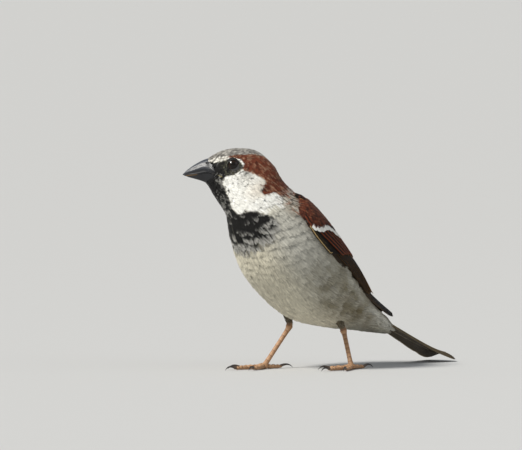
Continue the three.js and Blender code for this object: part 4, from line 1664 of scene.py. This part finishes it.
def laid_out(path, columns):
    """The share of a path's length at each of its points, and the turns round it."""
    run = run_along(path)
    return (run / run[-1])[:, None], full_turn(columns)[None, :]


def tube(path, front, size):
    """Rings round a path. front is the way that turn 0 faces, and size the radius in mm."""
    turn = full_turn(size.shape[1])[None, :]
    ahead = unit(np.gradient(path, axis=0))
    side = unit(np.cross(ahead, front))
    top = np.cross(side, ahead)
    round_it = np.cos(turn)[..., None] * top[:, None] - np.sin(turn)[..., None] * side[:, None]
    return path[:, None] + round_it * size[..., None]


BLUNT = 0.02


def scales(t, count):
    """Overlapping plates along a limb: each rises towards its lower edge and drops there."""
    x = (t * count) % 1
    return np.where(x < 0.9, x / 0.9, (1 - x) * 10)


# %% Bones under bare skin
FLOOR_SOFTNESS = 0.12
ANKLE_BEND = 1.6
SHANK_PLATES = 8
LIMB_COLUMNS = 32
TOE_COLUMNS = 28


def settled(height):
    """Heights pressed flat where they would go through the floor."""
    return FLOOR_SOFTNESS * np.logaddexp(0, height / FLOOR_SOFTNESS)


LEG_TAN = rgb(166, 124, 88)
# The paler leg tone is the tan as it looks when lit. It is used as a painted highlight on the plates.
LEG_LIT = rgb(196, 158, 122)
LEG_DARK = rgb(104, 70, 48)


def limb_path(leg):
    """From the knee over a rounded ankle to the foot, close-set points."""
    knee, ankle, foot = leg["knee"], leg["ankle"], leg["foot"] + 1.3 * UP
    above = ankle + unit(knee - ankle) * ANKLE_BEND
    below = ankle + unit(foot - ankle) * ANKLE_BEND
    upper = knee + (above - knee) * column(60)[:-1]
    bend = bent(column(24), above, ankle, below)
    lower = below + (foot - below) * column(150)[1:]
    return np.concatenate([upper, bend, lower]) + SHIFT, len(upper) + len(bend) // 2


def limb_form(leg):
    """The tibia, ankle and shank: front plates, a smooth sharp back and a knobbly ankle."""
    path, ankle_row = limb_path(leg)
    t, turn = laid_out(path, LIMB_COLUMNS)
    ankle_at = t[ankle_row, 0]
    thigh = np.clip(t / ankle_at, 0, 1)
    shank = np.clip((t - ankle_at) / (1 - ankle_at), 0, 1)
    size = np.where(t < ankle_at, 3.1 - 2.15 * thigh**0.75, 0.86 + 0.26 * (2 * shank - 1) ** 4)
    size = size + 0.36 * hill((t, ankle_at, 0.035)) * (0.8 + 0.2 * np.cos(turn))
    plates = scales(shank, SHANK_PLATES)
    front = ramp(np.cos(turn), -0.35, 0.25)
    size = size + 0.085 * (plates * ramp(shank, 0.02, 0.08)) * front * (t > ankle_at)
    size = size + 0.10 * hill((turn, math.pi, 0.35)) * ramp(shank, 0.05, 0.2)
    rings = tube(path, heading_way(leg) + 0.25 * UP, size * rounded_ends(t, 0.012, BLUNT))
    # Painted highlight: the plates are paler where they stand out on the front of the shank.
    tint = blend(LEG_TAN, LEG_LIT, np.clip(plates * front - 0.2, 0, 1) * 0.8)
    groove = ((shank * SHANK_PLATES) % 1 < 0.10) & (np.cos(turn) > -0.1)
    tint = blend(tint, LEG_DARK, groove * (0.45 + 0.4 * np.sin(shank * 31) ** 2))
    tint = blend(tint, rgb(96, 84, 70), (1 - ramp(t, ankle_at - 0.1, ankle_at + 0.02)) + 0 * turn)
    return rings, tint


def toe_form(leg, length, spread, plates):
    """One toe on the floor, with knuckles, plates above and pads below."""
    ray = heading_way(leg, spread)
    beside = np.array([-ray[1], ray[0], 0]) * leg["side"]
    foot = leg["foot"] + SHIFT * (1, 1, 0)
    t = column(130)
    knuckles = max(2, round(plates / 3))
    bump = np.cos(t * knuckles * 2 * math.pi) ** 2
    rise = 0.86 + 0.75 * (1 - ramp(t, 0, 0.30)) + 0.22 * np.sin(math.pi * t) * bump - 0.14 * t
    bow = 0.05 * length * np.sin(math.pi * t) * math.copysign(1, spread or 1)
    path = foot + ray * (t * (length + 0.4)) + beside * bow * 0.6 + UP * rise

    share, turn = laid_out(path, TOE_COLUMNS)
    above = ramp(np.cos(turn), -0.1, 0.4)
    size = 0.92 - 0.26 * share - 0.16 * ramp(share, 0.72, 1.0)
    size = size - 0.08 * (1 - bump) * ramp(share, 0.1, 0.3) + 0.085 * scales(share, plates) * above
    size = size + 0.14 * ramp(-np.cos(turn), 0.0, 0.6) * bump
    size = size * rounded_ends(share, 0.07, BLUNT) * (1 - 0.30 * ramp(share, 0.90, 1.0))
    rings = tube(path, UP, size)
    # Painted highlight: the plates on top of the toe are paler.
    tint = blend(LEG_TAN, LEG_LIT, np.clip(scales(t, plates), 0, 1) * above * 0.9)
    groove = ((t * plates) % 1 < 0.16) & (np.cos(turn) > 0.0)
    tint = np.where(groove[..., None], LEG_DARK, tint)
    tint = blend(tint, rgb(140, 112, 84), ramp(-np.cos(turn), 0.2, 0.7) * (1 + 0 * t) * 0.6)
    rings[..., 2] = settled(rings[..., 2])
    return rings, tint


def ball_form(centre, sizes, tint):
    """An oval ball or pad, flattened where it would go through the floor."""
    t = np.linspace(0.02, 0.98, 20)[:, None] * math.pi
    turn = full_turn(TOE_COLUMNS)[None, :]
    x = np.sin(t) * np.cos(turn)
    y = np.sin(t) * np.sin(turn)
    z = -np.cos(t) + 0 * turn
    rings = np.stack([x, y, z], axis=-1) * sizes + centre
    rings[..., 2] = settled(rings[..., 2])
    return rings, np.broadcast_to(tint, rings.shape)


# %% Wing stumps, lids and gape
def stump_form(side):
    """The arm inside the folded wing, under its coverts."""
    along = np.linspace(0.035, 0.62, 60)[:, None]
    turn = full_turn(48)[None, :]
    close = rounded_ends((along - 0.035) / 0.585, 0.25, BLUNT)
    across = np.cos(turn) * 0.86 * close
    lift = -0.6 + np.sin(turn) * (1.25 * close)
    lift = lift - 1.2 * (1 - close) * np.cos(turn) ** 2
    rings = wing_point(along, across, lift)
    if side < 0:
        rings = mirrored(rings)[:, ::-1]
    tint = np.broadcast_to(rgb(70, 44, 30), rings.shape)
    return rings[:, ::-1], tint


def eye_rings(side, turn, reach, height):
    """Rings of points round an eye's own axis, by turn, distance from the axis and height,
    and whether their faces have to be turned over."""
    outward = eye_axis * side
    ahead = unit(np.cross(UP, outward)) * side
    if ahead @ (turned(NECK_PIVOT - (0, 1, 0), 1.0) - NECK_PIVOT) < 0:
        ahead = -ahead
    flat = np.cos(turn)[..., None] * ahead + np.sin(turn)[..., None] * UP
    rings = eyes[side] + flat * reach[..., None] + outward * height[..., None]
    return rings, np.linalg.det(np.stack([ahead, UP, outward])) > 0


# distance from an eye's axis and height over its middle, round the section of a lid
LID_SECTION = np.array([
    (2.12, 2.30), (2.19, 2.40), (2.29, 2.43), (2.38, 2.36), (2.44, 2.22), (2.49, 2.13), (2.56, 2.04),
    (2.65, 1.86), (2.76, 1.55), (2.92, 1.05), (2.92, 0.2), (2.72, 0.25), (2.5, 1.2), (2.3, 2.05),
])
LID_BEAD = 2


def lid_form(side):
    """The bare ring round an eye: a beaded rim, a fold and a slope under the feathers."""
    turn = full_turn(120)[:, None]
    wide = 1 + 0.035 * np.cos(2 * turn) + 0.03 * hill((np.sin(turn), 0, 0.25))
    plain, height = LID_SECTION.T
    reach = plain * (1 + (wide - 1) * (1 - ramp(plain, 2.3, 2.95)))
    beads = 0.025 * np.cos(turn * 34) * (np.arange(len(plain)) == LID_BEAD)
    height = height + beads - 0.05 * np.cos(2 * turn)
    rings, flip = eye_rings(side, turn, reach, height)
    fleck = ramp(patches(rings, 0.30), -0.15, 0.4) * ((reach > 2.42) & (reach < 2.9))
    low = 1 - ramp(np.sin(turn), 0.1, 0.6) * (1 - ramp(-np.cos(turn), 0.75, 0.95))
    tint = blend(rgb(17, 16, 15), rgb(136, 136, 108), fleck * low * 0.85)
    return (rings[:, ::-1], tint[:, ::-1]) if flip else (rings, tint)


def head_place(forward, up, side):
    """A point on the turned head from its distance ahead of the eyes, above them and left."""
    forward, up, side = np.broadcast_arrays(forward, up, side)
    point = np.stack([side, EYE_PLACE[1] - forward, EYE_PLACE[2] + up], axis=-1)
    return turned(point, 1.0) + SHIFT


# distance ahead of the eyes, height above them and distance from the head's middle
GAPE_LINE = np.array([
    (8.2, -3.2, 4.7), (7.3, -3.45, 5.6), (6.2, -3.85, 6.55), (5.0, -4.3, 7.4), (4.2, -4.6, 7.95),
])
GAPE_COLUMNS = 18


def gape_form(side):
    """The soft yellowish fold at the corner of the mouth."""
    line = stations(GAPE_LINE, np.linspace(0, 1, 40))
    path = head_place(line[:, 0], line[:, 1], line[:, 2] * side)

    share, turn = laid_out(path, GAPE_COLUMNS)
    size = (0.20 + 0.12 * share + 0.04 * np.cos(turn * 2)) * rounded_ends(share, 0.2, BLUNT)
    rings = tube(path, UP, size)
    inner = column(40) + np.zeros(GAPE_COLUMNS)
    tint = blend(rgb(38, 36, 31), rgb(150, 138, 88), ramp(inner, 0.45, 0.85))
    tint = blend(tint, rgb(44, 42, 34), ramp(patches(rings, 0.35), -0.1, 0.5) * 0.8)
    return rings, tint


# %% The forms of the skin
BODY_ROWS = 260
BODY_COLUMNS = 190
EYE_SOCKET = 3.06


def form_object(name, form, how, close=closed_grid):
    """A form as an object for the skin, with its points, their colours and how it is joined."""
    points, tint = form
    verts, faces = close(points)
    colours = capped(tint) if close is closed_grid else tint.reshape(-1, 3)
    return mesh_piece(name, verts, faces, down), verts, colours, how


share = np.linspace(0.004, 0.985, BODY_ROWS)[:, None] + np.zeros((1, BODY_COLUMNS))
angle = full_turn(BODY_COLUMNS, -math.pi)[None, :] + np.zeros((BODY_ROWS, 1))
point, _, _, out = outline.at(share, angle)
bill_hollow = 1.15 * (1 - ramp(past_horn(share, angle), 0.0, 0.03))
body_rings = point - out * (coat_depth(share, angle) * 0.65 + 0.14 + bill_hollow)[..., None]
body_tint, _ = plumage(share, angle, np.full(share.shape, 0.6))
forms = [form_object("body_form", (body_rings, body_tint * 0.8), "BASE")]
for name, leg in LEGS.items():
    foot = leg["foot"] + 1.15 * UP + SHIFT
    forms.append(form_object(f"limb_{name}", limb_form(leg), "UNION"))
    forms.append(form_object(f"palm_{name}", ball_form(foot, (1.7, 1.7, 1.15), LEG_TAN), "UNION"))
    for length, spread, _, plates in TOES.values():
        forms.append(form_object(f"toe_{name}", toe_form(leg, length, spread, plates), "UNION"))
for side in SIDES.values():
    forms.append(form_object("stump", stump_form(side), "UNION"))
    forms.append(form_object("lid", lid_form(side), "LAID", closed_ring))
    forms.append(form_object("gape", gape_form(side), "LAID"))
sockets = [
    form_object("socket", ball_form(centre, (EYE_SOCKET,) * 3, LEG_TAN), "DIFFERENCE")
    for centre in eyes.values()
]
print("forms of the skin:", len(forms))

# %% Fusing them
base = forms[0][0]
for operand, _, _, how in sockets + forms:
    if how in ("UNION", "DIFFERENCE"):
        step = base.modifiers.new("join", "BOOLEAN")
        step.operation = how
        step.solver = "MANIFOLD"
        step.object = operand
graph = bpy.context.evaluated_depsgraph_get()
skin_mesh = bpy.data.meshes.new_from_object(base.evaluated_get(graph))
whole = bmesh.new()
whole.from_mesh(skin_mesh)
for made, _, _, how in forms:
    if how == "LAID":
        whole.from_mesh(made.data)
whole.to_mesh(skin_mesh)
whole.free()
for made, *_ in forms + sockets:
    bpy.data.objects.remove(made, do_unlink=True)
skin_mesh.materials.clear()
skin = new_object("skin", skin_mesh)
print("skin triangles:", triangles(skin))

# %% The skin's colours
all_points = np.concatenate([verts for _, verts, _, _ in forms])
all_tints = np.concatenate([colours for _, _, colours, _ in forms])
lookup = KDTree(len(all_points))
for i, place in enumerate(all_points):
    lookup.insert(place, i)
lookup.balance()
count = len(skin_mesh.vertices)
skin_points = np.empty(count * 3)
skin_mesh.vertices.foreach_get("co", skin_points)
nearest = [lookup.find(place)[1] for place in skin_points.reshape(-1, 3) / MM]
paint(skin_mesh, all_tints[nearest])
skin_mesh.polygons.foreach_set("use_smooth", np.ones(len(skin_mesh.polygons), bool))
print("points of the skin coloured:", count)

# %% [markdown]
# ## Horn and bare skin
# The bill, the claws and the leg plates are horn: hard, a little glossy and grown in
# layers. One group gives fine growth streaks, small stains and a roughness that varies.

# %% The horn group
horn_layers = grain_group(
    "horn_layers", ("Streaks", 2200.0), 0.35, ("Polish", 0.35),
    dict(Detail=4.0, Roughness=0.65), broad_scale=600.0, broad_share=1.0, uneven=0.3,
)


def horn_material(name, streaks, contrast, polish, relief, coat_weight=0.0):
    """A horn or bare-skin material that reads a piece's tint."""
    material, tree, shader = new_material(name, Coat_Weight=coat_weight, Coat_Roughness=0.18)
    layers = place_grain(
        tree, shader, horn_layers, piece_value(tree, "tint"),
        Streaks=streaks, Contrast=contrast, Polish=polish,
    )
    add_bump(tree, shader, layers.outputs["Height"], relief, 0.04)
    return material


bill_horn = horn_material("bill_horn", 1500.0, 0.4, 0.50, 0.12, 0.08)
claw_horn = horn_material("claw_horn", 1900.0, 0.4, 0.36, 0.4, 0.2)
leg_skin = horn_material("leg_skin", 3200.0, 0.5, 0.52, 0.6)
skin_mesh.materials.append(leg_skin)
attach(skin, "root")
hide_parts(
    "head", "neck", "trunk",
    *[f"{side}_{part}" for side in LEGS for part in ("thigh", "shank")],
    *[f"{side}_toe_{toe}" for side in LEGS for toe in TOES],
)

# %% [markdown]
# ## Bill
# A seed-eater's bill is a short stout cone of two halves. The upper half has a rounded
# ridge, a low swelling along its side and a cutting edge that dips at the mouth's corner.
# The lower half closes inside it. Each half is a loft of closed sections along the bill,
# because its ridge, edge and keel are each known as a plain line. A few stiff bristles
# stand at the corners of the mouth.

# %% Lines of the bill
# distance ahead of the eyes, height above them
RIDGE_LINE = [
    (3.5, 3.2), (8, 2.75), (10.3, 2.15), (12.4, 1.25), (14.8, -0.1), (16.4, -1.2),
    (17.8, -2.25), (18.8, -3.2), (19.4, -4.1),
]
EDGE_LINE = [
    (3.5, -4.7), (5.5, -4.1), (7.5, -3.4), (9.5, -2.95), (11.5, -3.05), (14.5, -3.7),
    (17, -4.0), (19.4, -4.2),
]
KEEL_LINE = [
    (3.5, -8.0), (8, -7.9), (10, -7.3), (11.5, -6.6), (13, -6.1), (14.8, -5.6),
    (17.2, -4.95), (18.7, -4.3),
]
SWELL_LINE = [(3.5, -3.6), (7.3, -2.7), (10.9, -0.8), (19.4, -3.6)]
LOFT_START = 3.5
BILL_ROOT = 5.8
BILL_TIP = 19.4
LOWER_TIP = 18.8


def smooth_line(line, forward):
    """Height of a line at distances ahead of the eyes, with its corners rounded."""
    return sum(between(forward + d, *line) for d in np.linspace(-0.7, 0.7, 9)) / 9


def bill_half_width(forward):
    out = np.clip((forward - BILL_ROOT) / (BILL_TIP - BILL_ROOT), 0, 1)
    return 3.85 * np.maximum(1 - out**1.25, 0) ** 0.9 + 1.35 * (1 - ramp(forward, 6.5, 12.2))


def bill_half(name, forward, outside, inside, tint, inner_tone, flip):
    """One half of the bill, from its outer and inner (x, z) round each section."""
    x, z = (np.concatenate(pair, axis=1) for pair in zip(outside, inside))
    lining = np.broadcast_to(inner_tone, (*inside[0].shape, 3))
    verts, faces = closed_grid(head_place(forward, z, x))
    faces = [f[:, ::-1] for f in faces] if flip else faces
    tints = capped(np.concatenate([tint, lining], axis=1))
    made = mesh_piece(f"{name}_horn", verts, faces, bill_horn, tint=tints)
    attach(made, "root")
    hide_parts(name)
    print(name, "triangles:", triangles(made))


# %% Upper half
HORN_BLACK = rgb(20, 21, 25)
HORN_GREY = rgb(62, 65, 70)
# A tan for the painted highlight on the lower half.
HORN_TAN_HIGHLIGHT = rgb(176, 138, 88)
# A bluish grey for the painted highlights on the upper half.
HORN_HIGHLIGHT = rgb(92, 98, 110)
forward = LOFT_START + (BILL_TIP - 0.02 - LOFT_START) * column(120) ** 0.92
ridge = smooth_line(RIDGE_LINE, forward)
edge = smooth_line(EDGE_LINE, forward)
half = bill_half_width(forward)
arc = np.linspace(0, math.pi, 45)[None, :]
level = np.sin(arc) ** 1.15
side = np.cos(arc)
side = np.sign(side) * np.abs(side) ** 0.82
swell_at = (smooth_line(SWELL_LINE, forward) - edge) / (ridge - edge)
swell = hill((level, swell_at, 0.13))
hollow = hill((level - swell_at, -0.26, 0.14))
push = 0.16 * swell - 0.14 * hollow + 0.05 * hill((level, 0, 0.07))
push = push * ramp(BILL_TIP - forward, 0.3, 4.0)
nostril = hill((forward, 9.9, 0.42), (edge + (ridge - edge) * level, 0.75, 0.26))
push = push - 0.55 * np.clip(nostril * 1.5, 0, 1)
flare = 0.45 * hill((level, swell_at, 0.24)) * (1 - ramp(forward, 7.4, 10.6))
x = side * (half + push + flare)
z = edge + (ridge - edge) * level + 0.05 * swell
roof = np.linspace(math.pi, 0, 17)[None, 1:-1]
roof_x = np.cos(roof) * half * 0.86
roof_z = edge + 0.10 + 0.35 * (ridge - edge) * np.sin(roof)
# Greyer along the cutting edges and along the very ridge, towards the tip.
edge_and_ridge_grey = hill((level, 0, 0.05)) * 0.5 + 0.35 * hill((level, 1, 0.03))
tint = blend(HORN_BLACK, HORN_GREY, edge_and_ridge_grey * ramp(forward, 11, 14))
tint = blend(tint, HORN_GREY, ramp(forward, 17.5, 19.4) * 0.5 + 0 * level)
# Painted highlights: bluish streaks that follow the growth lines, on the band under the ridge and on
# the side's swelling.
growth = 0.5 + 0.5 * np.sin(level * 46 + 2.2 * np.sin(forward * 0.9))
tint = blend(tint, HORN_HIGHLIGHT, (0.35 + 0.65 * growth) * ramp(level, 0.62, 0.92) * 0.55)
tint = blend(tint, HORN_HIGHLIGHT, swell * growth * 0.5 * ramp(forward, 8, 11))
# The nostril's dent is painted near black: painted shade for its opening.
tint = blend(tint, rgb(6, 6, 6), np.clip(nostril * 2, 0, 1))
bill_half("upper_bill", forward, (x, z), (roof_x, roof_z), tint, rgb(60, 30, 26), True)

# %% Lower half
forward = LOFT_START + (LOWER_TIP - LOFT_START) * column(110) ** 0.94
rim = smooth_line(EDGE_LINE, forward) + 0.30
keel = smooth_line(KEEL_LINE, forward)
half = np.maximum(bill_half_width(forward + 0.35) * 0.94 - 0.12, 0.02)
arc = np.linspace(0, math.pi, 41)[None, :]
level = np.sin(arc) ** 0.95
side = np.sign(np.cos(arc)) * np.abs(np.cos(arc)) ** 0.8
x = side * half
z = rim - (rim - keel) * level
floor_arc = np.linspace(math.pi, 0, 15)[None, 1:-1]
floor_x = np.cos(floor_arc) * half * 0.8
floor_z = rim - 0.15 - 0.45 * (rim - keel) * np.sin(floor_arc)
# Painted highlight: a tan stripe along the lit edge of the lower half, near its front.
lit_edge_stripe = hill((rim - z, 0.52, 0.16)) * ramp(forward, 13.2, 14.6) * (1 - ramp(forward, 17.9, 18.4))
tint = blend(HORN_BLACK, HORN_GREY, 0.25 * ramp(forward, 12, 16) + 0 * level)
tint = blend(tint, HORN_TAN_HIGHLIGHT, lit_edge_stripe * 0.8)
bill_half("lower_bill", forward, (x, z), (floor_x, floor_z), tint, rgb(70, 34, 30), False)

# %% Bristles at the corners of the mouth
BRISTLE_ROOTS = 9
BRISTLE_SIDES = 6
for name, side in SIDES.items():
    verts, faces, base = [], [], 0
    for k in np.linspace(0, 1, BRISTLE_ROOTS):
        root = np.array([8.6 - 2.6 * k, -0.6 - 3.4 * k, 4.7 + 2.2 * k])
        reach = np.array([rng.uniform(1.6, 2.6), rng.uniform(-1.6, -0.5), rng.uniform(0.25, 0.7)])
        t = column(9)
        line = root + reach * t + np.array([0.0, -0.5, -0.3]) * t * t
        path = head_place(line[:, 0], line[:, 1], line[:, 2] * side)
        share, turn = laid_out(path, BRISTLE_SIDES)
        rings = tube(path, UP, 0.075 * (1.05 - share) + 0 * turn)
        points, cells = closed_grid(rings)
        verts.append(points)
        faces += [cell + base for cell in cells]
        base += len(points)
    made = mesh_piece(f"{name}_bristles", np.concatenate(verts), faces, claw_horn,
                      tint=np.broadcast_to(rgb(18, 17, 16), (base, 3)))
    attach(made, "root")
print("bristle triangles:", triangles(made))

# %% [markdown]
# ## Eyes
# A sparrow's eye is a dark ball with a clear bulging front: a black pupil in a dark brown
# ring of fine spokes. It needs no glass: the ball is shaped with the bulge, painted, and
# given a clear coat, which gives the same wet highlight and survives the export.

# %% Eye material and balls
eye_wet, tree, shader = new_material(
    "eye_wet", Roughness=0.25, Specular_IOR_Level=0.1, Coat_Weight=0.75, Coat_Roughness=0.03,
    Coat_IOR=1.34,
)
mottle = node(tree, "ShaderNodeTexNoise", Scale=3000.0, Detail=2.0)
tone = mixed(tree, mottle.outputs["Fac"], piece_value(tree, "tint"), (0.012, 0.008, 0.005, 1))
feed(tree, [(shader.inputs["Base Color"], tone)])

for name, side in SIDES.items():
    t = np.linspace(0.004, math.pi - 0.02, 72)[:, None]
    turn = full_turn(96)[None, :]
    reach = EYE_RADIUS * np.sin(t) + 0 * turn
    bulge = 0.16 * np.clip(1 - (reach / 2.05) ** 2, 0, 1) ** 2 * (t < 1.5)
    rings, flip = eye_rings(side, turn, reach, EYE_RADIUS * np.cos(t) + bulge)
    spokes = 0.5 + 0.5 * np.cos(turn * 41 + 3 * np.sin(turn * 7))
    brown = blend(rgb(30, 18, 10), rgb(58, 34, 18), spokes * 0.6 + 0 * reach)
    tint = blend(rgb(3, 3, 4), brown, ramp(reach, 1.22, 1.34))
    tint = blend(tint, rgb(12, 9, 7), ramp(reach, 1.78, 2.02))
    verts, faces = closed_grid(rings)
    faces = [f[:, ::-1] for f in faces] if flip else faces
    ball = mesh_piece(f"{name}_eye_ball", verts, faces, eye_wet, tint=capped(tint))
    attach(ball, "root")
    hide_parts(f"{name}_eye")
print("eye ball triangles:", triangles(ball))

# %% [markdown]
# ## Claws
# Each claw is a flattened hook of dark horn, deepest at its root, with a groove below.

# %% Eight claws
CLAW_ROOT = rgb(92, 74, 60)
CLAW_DARK = rgb(44, 38, 34)
CLAW_COLUMNS = 20
for name, leg in LEGS.items():
    foot = leg["foot"] + SHIFT * (1, 1, 0)
    for toe, (length, spread, claw, _) in TOES.items():
        ray = heading_way(leg, spread)
        t = column(40)
        start = np.array([length - 0.7, 0.80])
        top = np.array([length + claw * 0.62, 2.5])
        end = np.array([length + claw, 0.12])
        hook = bent(t, start, top, end)
        path = foot + ray * hook[:, :1] + UP * hook[:, 1:]
        share, turn = laid_out(path, CLAW_COLUMNS)
        size = 0.66 * (1.02 - share) ** 0.8 * (1 + 0.22 * np.cos(turn) ** 2)
        size = size * (1 - 0.18 * hill((turn, math.pi, 0.35)))
        size = size * np.sqrt(np.clip((share + 0.02) / 0.06, 0, 1)) * 0.80
        rings = tube(path, UP, size)
        rings[..., 2] = settled(rings[..., 2])
        tint = blend(CLAW_ROOT, CLAW_DARK, ramp(t, 0.05, 0.4) + np.zeros(CLAW_COLUMNS))
        verts, faces = closed_grid(rings)
        made = mesh_piece(f"{name}_claw_horn_{toe}", verts, faces, claw_horn, tint=capped(tint))
        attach(made, "root")
        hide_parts(f"{name}_claw_{toe}")
print("claw triangles:", triangles(made))

# %% Measure
low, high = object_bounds()
